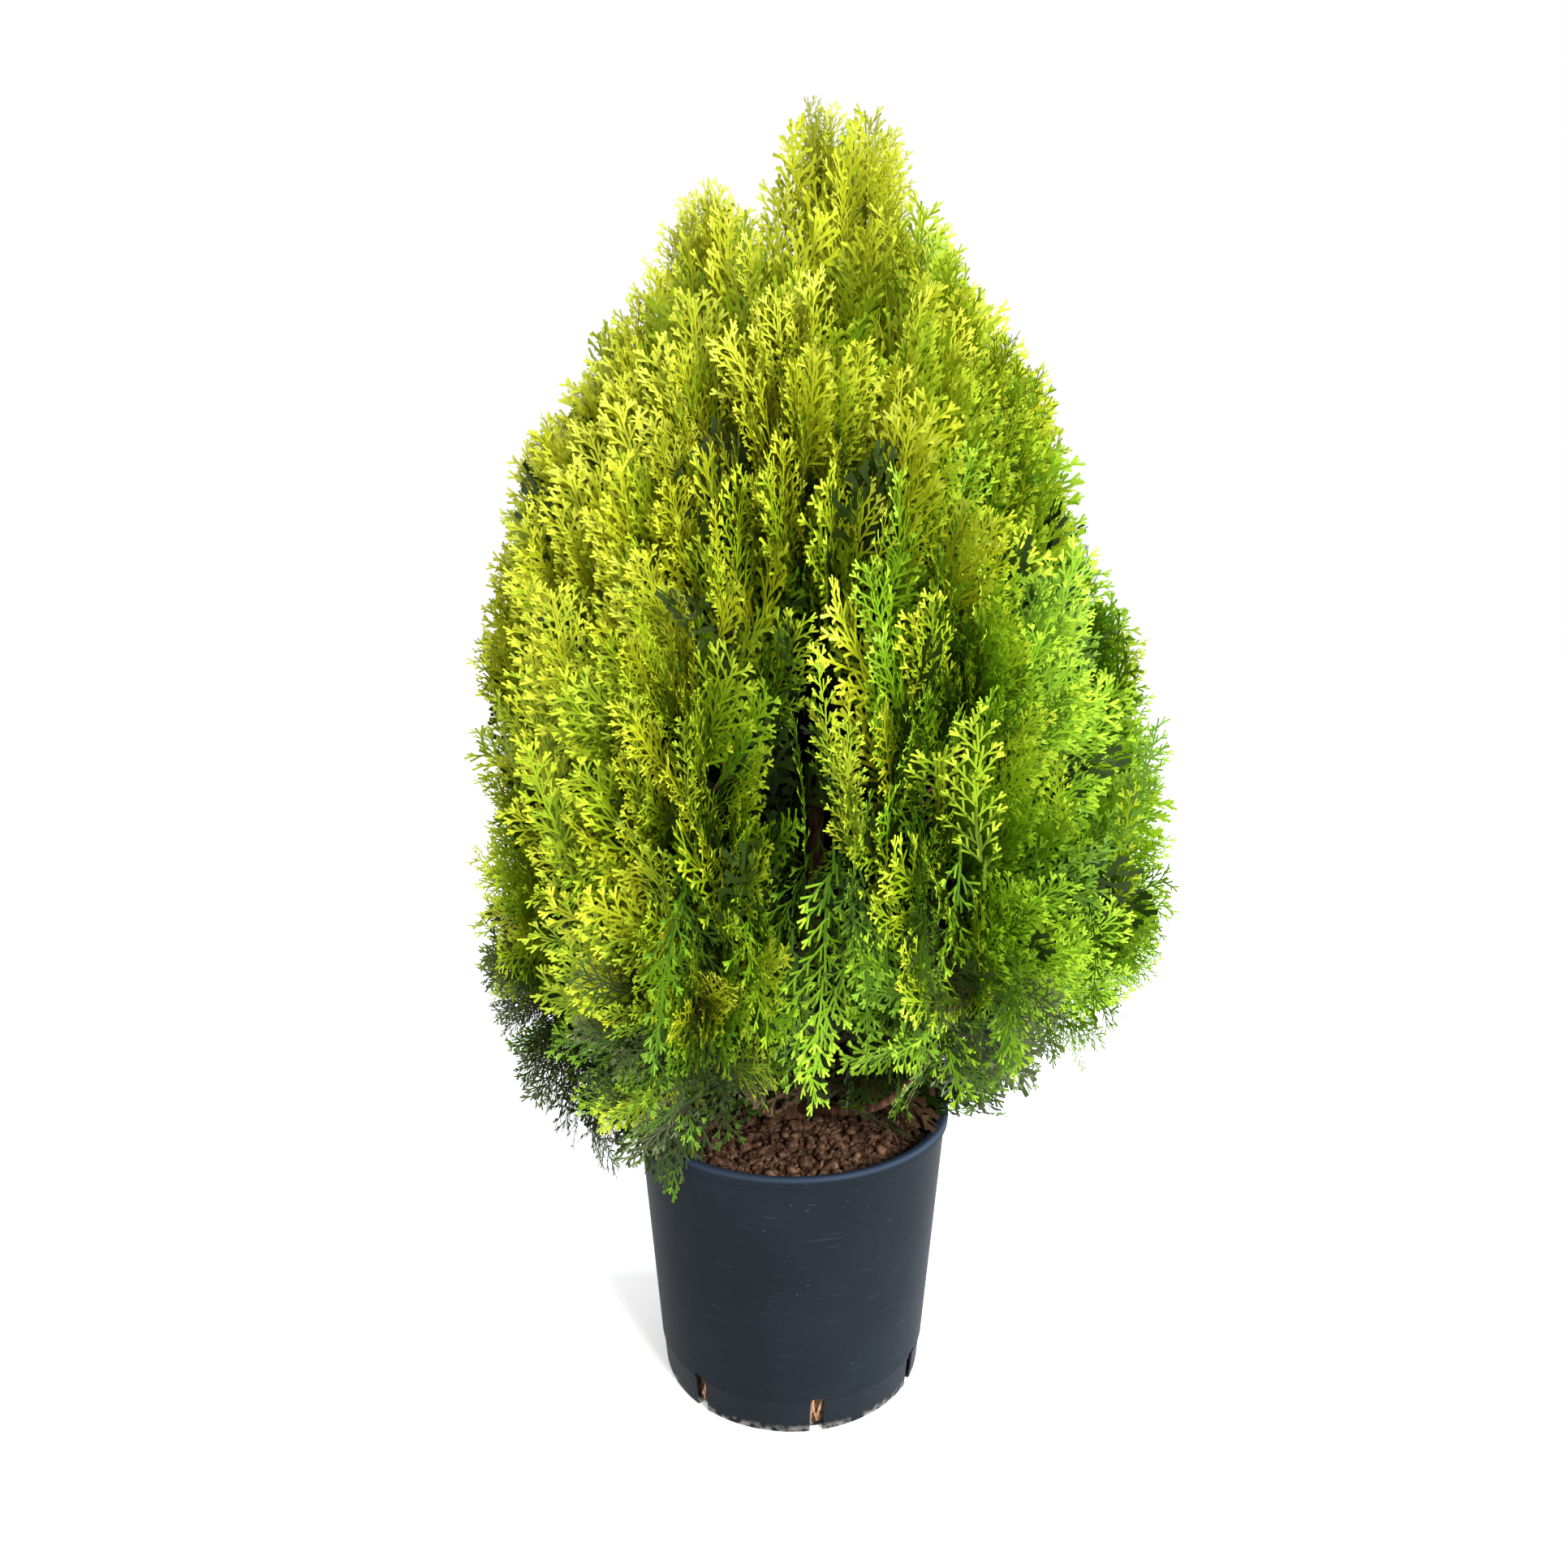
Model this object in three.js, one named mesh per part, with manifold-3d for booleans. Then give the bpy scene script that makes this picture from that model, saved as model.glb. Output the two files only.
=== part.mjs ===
// A golden oriental thuja in a round plastic nursery pot, as separate named solids.
// The trunk runs up through the crown, with steep boughs that each carry one mass of foliage.
// A mass is a stem with twigs, flat toothed sprays and a slim core, fused into one body.
// Units are millimetres and +Z is up. The origin is the centre of the pot's flat underside.

import * as THREE from "three";
import { mergeVertices } from "three/addons/utils/BufferGeometryUtils.js";
import Module from "manifold-3d";

const wasm = await Module();
wasm.setup();

const { clamp, degToRad, lerp, smoothstep } = THREE.MathUtils;

// ---- Driving dimensions -------------------------------------------------------------------

const GAP = 0.3; // between touching pieces

const POT = {
  height: 210,
  rimRadius: 120, // outside the rolled lip
  baseRadius: 101,
  wall: 2.4,
  floor: 3,
  lipHeight: 8,
  lipProud: 2, // how far the lip stands out of the wall
  lipInward: 11, // how far the rolled lip reaches in over the soil
  lipThick: 4.5,
  footHeight: 25, // of the recessed ring that holds the drain slots
  footInset: 1,
  sides: 36,
};

const SLOT = { count: 7, width: 12, height: 26, firstAngle: -88 };

const SOIL = { level: 197, mound: 4, rings: 3 };

const TRUNK = {
  footRadius: 15,
  flareHeight: 26,
  radius: 9,
  tipRadius: 3.2,
  path: [
    [0, 0],
    [7, -4],
    [14, -3],
    [17, 3],
    [17, 5],
    [20, 1],
    [23, -2],
  ], // sideways and depth, at even steps up to the top
  top: 610,
};

const CROWN = {
  low: 165,
  widest: 385,
  top: 915,
  radius: 252,
  shift: 21, // of the crown's axis to the right of the pot's, in its wide lower half
  shiftUpTo: 430,
  straightFrom: 690,
  lean: 10, // of the axis to the right again, at the shoulders of the leaders
  leanFrom: 690,
  leanUpTo: 745,
};

const DROOP = { azimuth: 205, strength: 0.21 }; // the side on which the skirt hangs lowest
const LIFT = { azimuth: -60, strength: 0.17, earlier: 0.9 }; // the side where it ends highest
// The upright parting at the front, which closes towards either end.
const SPLIT = { x: 14, half: 15, bottom: 235, low: 300, fullUpTo: 385, high: 620 };

// Bare soil shows in front of the trunk, so nothing hangs there below a rising plane.
const SOIL_VIEW = { x: 4, half: 68, level: 207, slope: 0.46 };

const CONE_SLOPE = 0.8; // foliage tiers meet on cones that rise outwards by this slope
const MARGIN = 2.5; // that a mass keeps from the edge of its own space

// Each tier is a ring of boughs with one mass each. A cone is named by the height where it
// meets the crown's axis. Targets are where sprays point: columns across the mass, and rows.
const TIERS = [
  {
    name: "skirt",
    count: 7,
    cone: [30, 250],
    inner: 60,
    boughFrom: [205, 233],
    boughRadius: [5, 3.8],
    stemCone: [178, 158],
    stemReach: 0.72,
    rows: [76, 150, 224],
    raise: 150, // of a row on the lifted side, where the low places are bare
  },
  {
    name: "middle",
    count: 6,
    cone: [256, 460],
    inner: 52,
    boughFrom: [262, 300],
    boughRadius: [5.5, 3.6],
    stemCone: [300, 370],
    stemReach: 0.72,
    rows: [286, 360, 434],
    raise: 0,
  },
  {
    name: "upper",
    count: 4,
    turned: true, // by half a step, so that one mass faces the front
    cone: [466, 650],
    inner: 42,
    boughFrom: [420, 480],
    boughRadius: [4.4, 3],
    stemCone: [505, 575],
    stemReach: 0.66,
    rows: [494, 560, 626],
    raise: 0,
  },
];
const COLUMNS = [
  [-0.66, 0.05, 0.66],
  [-0.4, 0.42],
]; // as shares of the mass's half width, row by row in turn

// The two upright leaders at the top, side by side on a plane across X.
const LEADERS = {
  cone: 656,
  splitX: -18,
  low: 604, // between the upper tier's masses
  rings: [
    { z: 752, count: 5 },
    { z: 792, count: 4 },
    { z: 832, count: 3 },
  ], // round the crown's own outline, up to the shoulders
  tipRings: [{ down: 30, count: 3 }], // round each leader's tip
  tips: [
    [-30, 3],
    [-12, 0],
    [14, 0],
    [32, 5],
  ], // aside and down from each leader's top
  spread: 2.35, // radians either way from the outward side that sprays point to
  right: { side: 1, x: 41, y: -4, top: 915, radius: 39, blunt: 8, from: 690, start: [23, -2], core: 36 },
  left: { side: -1, x: -53, y: 6, top: 869, radius: 34, blunt: 4, from: 690, start: [-22, 4], core: 20 },
  leftBough: { from: 480, radius: [4, 3] },
};
const NOTCH = { half: 9, low: 812, full: 850 }; // between the two leaders' tips

const SPRAY = {
  length: [72, 124],
  shortest: 0.6, // of the least length, for one whose target is near the stem
  halfWidth: 0.26, // of its length
  thickness: 2.2,
  twist: 24, // degrees either way from the crown's radius
  valley: 0.42, // how far out the notch between two teeth lies
  sunk: 8, // how deep the blade's root lies in its twig
};

// The steepness that sprays have at a height, in degrees.
const SPRAY_RISE = [
  [175, -58],
  [250, -34],
  [330, -4],
  [420, 26],
  [500, 42],
  [650, 62],
  [915, 86],
];

const TWIG = { radius: 2.6, sides: 3 };
const STEM = { radius: 3.4, sides: 3, steps: 3 };
const BOUGH = { sides: 5, steps: 3 };
const CORE = { sides: 5, steps: 3, start: 0.1, end: 1, side: 0.66, depth: 46 };
const TRIES = 24; // for each spray before it is skipped

// ---- Small tools --------------------------------------------------------------------------

const DEPTH = new THREE.Vector3(0, 1, 0);
const UP = new THREE.Vector3(0, 0, 1);

// A seeded random source, so that every build grows the same plant.
function randomFrom(seed) {
  let state = seed >>> 0;
  return function random(low = 0, high = 1) {
    state = (state + 0x6d2b79f5) >>> 0;
    let t = state;
    t = Math.imul(t ^ (t >>> 15), t | 1);
    t ^= t + Math.imul(t ^ (t >>> 7), t | 61);
    return lerp(low, high, ((t ^ (t >>> 14)) >>> 0) / 4294967296);
  };
}

// A closed three.js geometry as a manifold-3d solid.
function solidOf(geometry) {
  const bare = new THREE.BufferGeometry().setAttribute("position", geometry.getAttribute("position").clone());
  bare.setIndex(geometry.index);
  const merged = mergeVertices(bare.index ? bare.toNonIndexed() : bare, 1e-3);
  return new wasm.Manifold(
    new wasm.Mesh({
      numProp: 3,
      vertProperties: new Float32Array(merged.attributes.position.array),
      triVerts: new Uint32Array(merged.index.array),
    }),
  );
}

// A manifold-3d solid as a three.js geometry. Loose scraps and sealed hollows are dropped.
function geometryOf(solid) {
  const whole = solid.decompose().reduce((a, b) => (b.volume() > a.volume() ? b : a));
  const mesh = whole.getMesh();
  const positions = new Float32Array(mesh.numVert * 3);
  for (let i = 0; i < mesh.numVert; i++)
    for (let k = 0; k < 3; k++) positions[i * 3 + k] = mesh.vertProperties[i * mesh.numProp + k];
  return new THREE.BufferGeometry()
    .setAttribute("position", new THREE.BufferAttribute(positions, 3))
    .setIndex(new THREE.BufferAttribute(new Uint32Array(mesh.triVerts), 1));
}

// A round limb along a curve: a cylinder whose rings are laid along it, with radiusAt(0..1).
// It is as thick across as radiusAt says, and flatAt times that sideways.
function limbGeometry(curve, radiusAt, sides, steps, flatAt = () => 1, level = DEPTH) {
  const geometry = new THREE.CylinderGeometry(1, 1, 1, sides, steps);
  const position = geometry.getAttribute("position");
  const sideways = new THREE.Vector3();
  const across = new THREE.Vector3();
  for (let i = 0; i < position.count; i++) {
    const t = position.getY(i) + 0.5;
    const tangent = curve.getTangent(t);
    sideways.crossVectors(level, tangent).normalize();
    across.crossVectors(tangent, sideways);
    const radius = radiusAt(t);
    const point = curve
      .getPoint(t)
      .addScaledVector(across, position.getX(i) * radius)
      .addScaledVector(sideways, position.getZ(i) * radius * flatAt(t));
    position.setXYZ(i, point.x, point.y, point.z);
  }
  return geometry;
}

// ---- The crown's frame --------------------------------------------------------------------

function crownAxisX(z) {
  const low = CROWN.shift * (1 - smoothstep(z, CROWN.shiftUpTo, CROWN.straightFrom));
  return low + CROWN.lean * smoothstep(z, CROWN.leanFrom, CROWN.leanUpTo);
}

// How far an azimuth shares in the lift, from 0 to 1.
function liftAt(azimuth) {
  return Math.max(0, Math.cos(azimuth - degToRad(LIFT.azimuth)));
}

// The crown's egg-shaped outline: its radius at a height. It hangs lower on one side and is
// lifted at the front.
function crownRadius(z, azimuth) {
  if (z > CROWN.widest) {
    const rise = Math.min(1, (z - CROWN.widest) / (CROWN.top - CROWN.widest));
    return CROWN.radius * (1 - rise ** 2.1) ** 0.8;
  }
  const drop = Math.min(1, (CROWN.widest - z) / (CROWN.widest - CROWN.low));
  const droop = DROOP.strength * Math.max(0, Math.cos(azimuth - degToRad(DROOP.azimuth))) ** 3;
  const lift = liftAt(azimuth) ** 2;
  const shrunk = 0.62 - droop + LIFT.strength * lift;
  return CROWN.radius * (1 - shrunk * drop ** (2.4 - LIFT.earlier * lift));
}

function crownPoint(radius, azimuth, z) {
  return new THREE.Vector3(crownAxisX(z) + radius * Math.cos(azimuth), radius * Math.sin(azimuth), z);
}

// A point's radius, azimuth and cone height in the crown.
function crownPlace(point) {
  const x = point.x - crownAxisX(point.z);
  const radius = Math.hypot(x, point.y);
  return { radius, azimuth: Math.atan2(point.y, x), cone: point.z - CONE_SLOPE * radius };
}

function turnBetween(a, b) {
  return Math.abs(Math.atan2(Math.sin(a - b), Math.cos(a - b)));
}

// Where the cone of that height meets the outline.
function outlineHeight(cone, azimuth) {
  let z = cone;
  for (let i = 0; i < 40; i++) z = lerp(z, cone + CONE_SLOPE * crownRadius(z, azimuth), 0.4);
  return z;
}

// How far a point stands from the front parting.
function splitRoom(point) {
  if (point.y > 0) return Infinity;
  const below = smoothstep(point.z, SPLIT.bottom, SPLIT.low);
  const above = 1 - smoothstep(point.z, SPLIT.fullUpTo, SPLIT.high);
  return Math.abs(point.x - SPLIT.x) - SPLIT.half * below * above;
}

function hidesSoil(point) {
  if (point.y > 0 || Math.abs(point.x - SOIL_VIEW.x) > SOIL_VIEW.half) return false;
  return point.z < SOIL_VIEW.level - SOIL_VIEW.slope * point.y;
}

function leaderAxis(leader, z) {
  const share = clamp((z - TRUNK.top) / (leader.top - leader.from), 0, 1);
  const [x, y] = leader.start;
  return new THREE.Vector3(lerp(x, leader.x, share), lerp(y, leader.y, share), z);
}

function leaderRadius(leader, z) {
  const share = clamp((z - leader.from) / (leader.top - leader.from), 0, 1);
  return leader.radius * (1 - share ** leader.blunt) ** 0.5;
}

// How far a point stands out of the crown, or of a leader above its shoulders.
function overhang(point) {
  const { radius, azimuth } = crownPlace(point);
  let out = radius - crownRadius(point.z, azimuth);
  if (point.z < LEADERS.right.from) return out;
  for (const leader of [LEADERS.right, LEADERS.left]) {
    const axis = leaderAxis(leader, point.z);
    const aside = Math.hypot(point.x - axis.x, point.y - axis.y) - leaderRadius(leader, point.z);
    out = Math.min(out, Math.max(aside, point.z - leader.top));
  }
  const notch = NOTCH.half * smoothstep(point.z, NOTCH.low, NOTCH.full);
  return Math.max(out, notch - Math.abs(point.x - LEADERS.splitX));
}

// ---- Pot and soil -------------------------------------------------------------------------

function wallRadius(z) {
  return lerp(POT.baseRadius, POT.rimRadius - POT.lipProud, z / POT.height);
}

function potGeometry() {
  const { height, wall, floor, lipHeight, lipInward, lipThick, footHeight, footInset, rimRadius } = POT;
  const chamfer = 1.5;
  const lipRound = 1.6;
  const profile = [
    [0, 0],
    [POT.baseRadius - chamfer - footInset, 0],
    [POT.baseRadius - footInset, chamfer],
    [wallRadius(footHeight) - footInset, footHeight - footInset],
    [wallRadius(footHeight), footHeight],
    [wallRadius(height - lipHeight), height - lipHeight],
    [rimRadius - lipRound / 2, height - lipHeight],
    [rimRadius, height - lipHeight + lipRound],
    [rimRadius, height - lipRound],
    [rimRadius - lipRound, height],
    [rimRadius - lipInward + 1.5, height - 1.5],
    [rimRadius - lipInward, height - lipThick],
    [wallRadius(height - lipHeight) - wall, height - lipHeight],
    [wallRadius(floor) - wall, floor],
    [0, floor],
  ].map(([radius, z]) => new THREE.Vector2(radius, z));
  const shell = new THREE.LatheGeometry(profile, POT.sides).rotateX(Math.PI / 2);
  let pot = solidOf(shell);
  const slotDepth = 14;
  for (let i = 0; i < SLOT.count; i++) {
    const angle = degToRad(SLOT.firstAngle + (i * 360) / SLOT.count);
    const box = new THREE.BoxGeometry(slotDepth, SLOT.width, SLOT.height + 1)
      .translate(POT.baseRadius, 0, SLOT.height / 2 - 0.5)
      .rotateZ(angle);
    pot = pot.subtract(solidOf(box));
  }
  return geometryOf(pot);
}

// The root ball: it fills the pot, and its top is a low uneven mound that is flat at the trunk.
function soilGeometry() {
  const random = randomFrom(5);
  const bottom = POT.floor + GAP;
  const profile = [new THREE.Vector2(0, bottom)];
  profile.push(new THREE.Vector2(wallRadius(bottom) - POT.wall - GAP, bottom));
  const edge = wallRadius(SOIL.level - SOIL.mound) - POT.wall - GAP;
  for (let i = 0; i < SOIL.rings; i++) {
    const share = 1 - i / SOIL.rings;
    profile.push(new THREE.Vector2(edge * share, SOIL.level - SOIL.mound * share ** 2));
  }
  profile.push(new THREE.Vector2(0, SOIL.level));
  const geometry = mergeVertices(
    stripped(new THREE.LatheGeometry(profile, POT.sides).rotateX(Math.PI / 2)),
    1e-3,
  );
  const position = geometry.getAttribute("position");
  for (let i = 0; i < position.count; i++) {
    const radius = Math.hypot(position.getX(i), position.getY(i));
    const open = radius > TRUNK.footRadius * 1.3 && radius < edge - 1;
    if (open && position.getZ(i) > bottom + 1) position.setZ(i, position.getZ(i) - random(0, 3.5));
  }
  return geometryOf(solidOf(geometry));
}

// The space of the pot and the soil, with a clearance, that no foliage may enter.
function potSpace() {
  const radius = POT.rimRadius + 4 * GAP;
  const height = POT.height + 4 * GAP;
  const cylinder = new THREE.CylinderGeometry(radius, radius, height, 24);
  return cylinder.rotateX(Math.PI / 2).translate(0, 0, height / 2);
}

function clearOfPot(point) {
  return Math.hypot(point.x, point.y) > POT.rimRadius + 2 * MARGIN || point.z > POT.height + 2 * MARGIN;
}

function stripped(geometry) {
  geometry.deleteAttribute("normal");
  geometry.deleteAttribute("uv");
  return geometry;
}

// ---- Trunk and boughs ---------------------------------------------------------------------

function trunkCurve() {
  const foot = SOIL.level + GAP;
  const last = TRUNK.path.length - 1;
  const points = TRUNK.path.map(([x, y], i) => new THREE.Vector3(x, y, lerp(foot, TRUNK.top, i / last)));
  return new THREE.CatmullRomCurve3(points);
}

const TRUNK_CURVE = trunkCurve();
const TRUNK_LENGTH = TRUNK.top - SOIL.level;

function trunkRadius(t) {
  const climb = t * TRUNK_LENGTH;
  const flare = Math.max(0, 1 - climb / TRUNK.flareHeight) ** 2;
  return lerp(TRUNK.radius, TRUNK.tipRadius, t) + (TRUNK.footRadius - TRUNK.radius) * flare;
}

// The trunk's solid, swollen by extra where its neighbours are cut to clear it. Its foot is
// trimmed to a level cut just over the soil.
function trunkSolid(extra = 0) {
  const limb = solidOf(limbGeometry(TRUNK_CURVE, (t) => trunkRadius(t) + extra, 8, 14));
  const under = new THREE.BoxGeometry(200, 200, 40).translate(0, 0, SOIL.level + GAP - 20);
  return extra ? limb : limb.subtract(solidOf(under));
}

// A bough starts inside the trunk, bends up and ends at tip; the trunk is then cut out of it.
function boughParts(fromHeight, tip, radii, clearTrunk) {
  const t = (fromHeight - SOIL.level) / TRUNK_LENGTH;
  const start = TRUNK_CURVE.getPoint(t);
  const bend = start.clone().lerp(tip, 0.55).setZ(lerp(start.z, tip.z, 0.36));
  const curve = new THREE.QuadraticBezierCurve3(start, bend, tip);
  const limb = limbGeometry(curve, (s) => lerp(radii[0], radii[1], s), BOUGH.sides, BOUGH.steps);
  return { curve, solid: solidOf(limb).subtract(clearTrunk) };
}

// ---- Foliage ------------------------------------------------------------------------------

// One flat spray: a blade with two teeth on each side that points along +Y, centred on XY.
function sprayGeometry(length) {
  const width = length * SPRAY.halfWidth;
  const rootHalf = TWIG.radius * 0.6;
  const side = [
    [width, length * 0.46],
    [width * SPRAY.valley, length * 0.55],
    [width * 0.68, length * 0.8],
  ];
  const shape = new THREE.Shape();
  shape.moveTo(rootHalf, -SPRAY.sunk);
  side.forEach(([x, y]) => shape.lineTo(x, y));
  shape.lineTo(0, length);
  side.reverse().forEach(([x, y]) => shape.lineTo(-x, y));
  shape.lineTo(-rootHalf, -SPRAY.sunk);
  const blade = new THREE.ExtrudeGeometry(shape, { depth: SPRAY.thickness, bevelEnabled: false });
  return blade.translate(0, 0, -SPRAY.thickness / 2);
}

// Where a spray's outermost points lie once it is placed.
function sprayCorners(length, placing) {
  const width = length * SPRAY.halfWidth;
  return [
    [0, length],
    [width, length * 0.46],
    [-width, length * 0.46],
    [width * 0.68, length * 0.8],
    [-width * 0.68, length * 0.8],
  ].map(([x, y]) => new THREE.Vector3(x, y, 0).applyMatrix4(placing));
}

// The steepness that sprays have at a height: they hang at the skirt and stand at the top.
function sprayRise(z) {
  let rise = SPRAY_RISE[0][1];
  for (let i = 1; i < SPRAY_RISE.length; i++) {
    const [low, from] = SPRAY_RISE[i - 1];
    const [high, to] = SPRAY_RISE[i];
    if (z > low) rise = lerp(from, to, Math.min(1, (z - low) / (high - low)));
  }
  return degToRad(rise);
}

// The point of the stem from which a twig to target rises most nearly as sprays do there.
function rootOnStem(stem, target) {
  const wanted = sprayRise(target.z);
  let best = null;
  for (let t = CORE.start; t <= 0.98; t += 0.08) {
    const point = stem.getPoint(t);
    const ahead = target.clone().sub(point);
    const rise = Math.atan2(ahead.z, Math.hypot(ahead.x, ahead.y));
    const score = Math.abs(rise - wanted) + ahead.length() / 500;
    if (!best || score < best.score) best = { t, point, score, ahead };
  }
  return best;
}

// Turns +Y to the spray's direction, with its flat side along the crown's radius and upright.
function sprayPlacing(root, direction, twist) {
  const outward = new THREE.Vector3(direction.x, direction.y, 0);
  if (outward.lengthSq() < 1e-4) outward.set(1, 0, 0);
  const normal = new THREE.Vector3(0, 0, 1).cross(outward).normalize();
  normal.applyAxisAngle(direction, twist);
  const lateral = new THREE.Vector3().crossVectors(direction, normal).normalize();
  return new THREE.Matrix4().makeBasis(lateral, direction, normal).setPosition(root);
}

// A mass of foliage: the stem from its bough, a core round it, and twigs with their sprays.
// mass = { name, stem, core, targets, inside(point), seed }
function massGeometry(mass) {
  const random = randomFrom(mass.seed);
  const { stem, core } = mass;
  const solids = [
    solidOf(limbGeometry(stem, (t) => STEM.radius * (1 - 0.5 * t), STEM.sides, STEM.steps)),
    solidOf(limbGeometry(coreCurve(stem), core.radiusAt, CORE.sides, CORE.steps, core.flatAt, core.level)),
  ];
  for (const pick of mass.targets) {
    for (let attempt = 0; attempt < TRIES; attempt++) {
      const target = pick(random, attempt / TRIES);
      const { t, point, ahead } = rootOnStem(stem, target);
      const direction = ahead.clone().normalize();
      const coreRadius = core.radiusAt(t) * Math.min(1, core.flatAt(t));
      const wanted = clamp(ahead.length() - coreRadius + SPRAY.sunk * random(1.5, 3), ...SPRAY.length);
      const length = Math.min(wanted, ahead.length() * 0.95);
      const root = target.clone().addScaledVector(direction, -length);
      const placing = sprayPlacing(root, direction, degToRad(random(-SPRAY.twist, SPRAY.twist)));
      if (length < SPRAY.length[0] * SPRAY.shortest) continue;
      if (!sprayCorners(length, placing).every(mass.inside)) continue;
      solids.push(solidOf(sprayGeometry(length).applyMatrix4(placing)));
      if (root.distanceTo(point) > coreRadius) {
        const twigEnd = root.clone().addScaledVector(direction, SPRAY.sunk);
        const twig = limbGeometry(new THREE.LineCurve3(point, twigEnd), () => TWIG.radius, TWIG.sides, 1);
        solids.push(solidOf(twig));
      }
      break;
    }
  }
  return geometryOf(wasm.Manifold.union(solids).subtract(solidOf(potSpace())));
}

function coreCurve(stem) {
  const points = [0, 0.25, 0.5, 0.75, 1].map((t) => stem.getPoint(lerp(CORE.start, CORE.end, t)));
  return new THREE.CatmullRomCurve3(points);
}

// How a core swells from its start and rounds off at its end, from 0 to 1.
function swell(t) {
  return 0.14 + 0.86 * Math.sin(Math.PI * t ** 1.25) ** 0.6;
}

// The masses of one tier, each with its bough.
function tierMasses(tier, tierIndex, clearTrunk) {
  const made = [];
  const half = Math.PI / tier.count;
  for (let i = 0; i < tier.count; i++) {
    const random = randomFrom(100 * (tierIndex + 1) + i);
    const azimuth = -Math.PI / 2 + (2 * i + (tier.turned ? 0 : 1)) * half;
    const tipRadius = tier.inner + 6;
    const tip = onCone(tipRadius, azimuth, tier.stemCone[0] + random(-5, 5));
    const climb = ((i * 3) % tier.count) / (tier.count - 1);
    const bough = boughParts(lerp(...tier.boughFrom, climb), tip, tier.boughRadius, clearTrunk);
    const endCone = tier.stemCone[1] + tier.raise * 0.4 * liftAt(azimuth);
    const endZ = outlineHeight(endCone, azimuth);
    const end = onCone(crownRadius(endZ, azimuth) * tier.stemReach, azimuth, endCone);
    const stem = stemFrom(bough.curve, end);
    const outAt = (t) => crownPlace(stem.getPoint(lerp(CORE.start, CORE.end, t))).radius;
    const sideAt = (t) => Math.sin(half) * CORE.side * outAt(t);
    const core = {
      radiusAt: (t) => CORE.depth * swell(t),
      flatAt: (t) => sideAt(t) / CORE.depth,
      level: UP,
    };
    const targets = tier.rows.flatMap((row, rowIndex) =>
      COLUMNS[rowIndex % 2].map((column) => (rnd, worn) => {
        const turn = azimuth + half * (column + rnd(-0.12, 0.12)) * (1 - 0.7 * worn);
        const raised = row + worn * tier.raise * liftAt(turn);
        const z = outlineHeight(raised + rnd(-10, 10) * (1 + worn), turn);
        const reach = crownRadius(z, turn) * rnd(0.95, 1) * (1 - 0.15 * worn);
        return crownPoint(reach, turn, z);
      }),
    );
    const inside = (point) => {
      const place = crownPlace(point);
      const sideRoom = place.radius * Math.sin(half - turnBetween(place.azimuth, azimuth));
      return (
        Math.min(sideRoom, splitRoom(point)) > MARGIN &&
        place.radius > tier.inner + MARGIN &&
        place.cone > tier.cone[0] + MARGIN &&
        place.cone < tier.cone[1] - MARGIN &&
        overhang(point) < MARGIN &&
        !hidesSoil(point) &&
        clearOfPot(point)
      );
    };
    const name = `${tier.name}_${i + 1}`;
    made.push({ name, bough, stem, core, targets, inside, seed: 7 * (tierIndex * 10 + i) + 3 });
  }
  return made;
}

// A stem that carries on from the end of its limb, a gap clear of it, and bends to end.
function stemFrom(limb, end) {
  const ahead = limb.getTangent(1);
  const start = limb.getPoint(1).addScaledVector(ahead, GAP);
  const bend = start.clone().addScaledVector(ahead, start.distanceTo(end) * 0.35);
  return new THREE.QuadraticBezierCurve3(start, bend, end);
}

// The point at a radius and azimuth on the cone of that height.
function onCone(radius, azimuth, cone) {
  return crownPoint(radius, azimuth, cone + CONE_SLOPE * radius);
}

// The mass on an upright leader: it fills its side of the crown up to the shoulders, then grows
// round its own axis up to its own top.
function leaderMass(name, leader, limb, seed) {
  const stem = stemFrom(limb, leaderAxis(leader, leader.top - SPRAY.length[0]));
  const facing = leader.side > 0 ? 0 : Math.PI;
  const targets = [];
  const aim = (z, turn, radiusAt, centreAt) => {
    targets.push((rnd) => {
      const height = z + rnd(-9, 9);
      const angle = facing + turn + rnd(-0.2, 0.2);
      const out = new THREE.Vector3(Math.cos(angle), Math.sin(angle), 0);
      return centreAt(height).addScaledVector(out, radiusAt(height, angle) * rnd(0.9, 1));
    });
  };
  for (const { z, count } of LEADERS.rings) {
    for (let i = 0; i < count; i++) {
      const turn = lerp(-LEADERS.spread, LEADERS.spread, (i + 0.5) / count);
      aim(z, turn, crownRadius, (height) => crownPoint(0, 0, height));
    }
  }
  for (const { down, count } of LEADERS.tipRings) {
    for (let i = 0; i < count; i++) {
      const turn = lerp(-LEADERS.spread, LEADERS.spread, (i + 0.5) / count);
      const radiusAt = (height) => leaderRadius(leader, height);
      aim(leader.top - down, turn, radiusAt, (height) => leaderAxis(leader, height));
    }
  }
  for (const [aside, down] of LEADERS.tips) {
    targets.push((rnd) => {
      const x = leader.x + (aside * leader.radius) / LEADERS.right.radius;
      return new THREE.Vector3(x, leader.y + rnd(-6, 6), leader.top - down);
    });
  }
  const inside = (point) => {
    const place = crownPlace(point);
    const between = place.radius < TIERS[2].inner - MARGIN && point.z > LEADERS.low;
    const side = leader.side * (point.x - LEADERS.splitX) > MARGIN;
    return side && (between || place.cone > LEADERS.cone + MARGIN) && overhang(point) < MARGIN;
  };
  const core = { radiusAt: (t) => leader.core * swell(t), flatAt: () => 1, level: DEPTH };
  return { name, stem, core, targets, inside, seed };
}

// ---- Assembly -----------------------------------------------------------------------------

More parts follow.
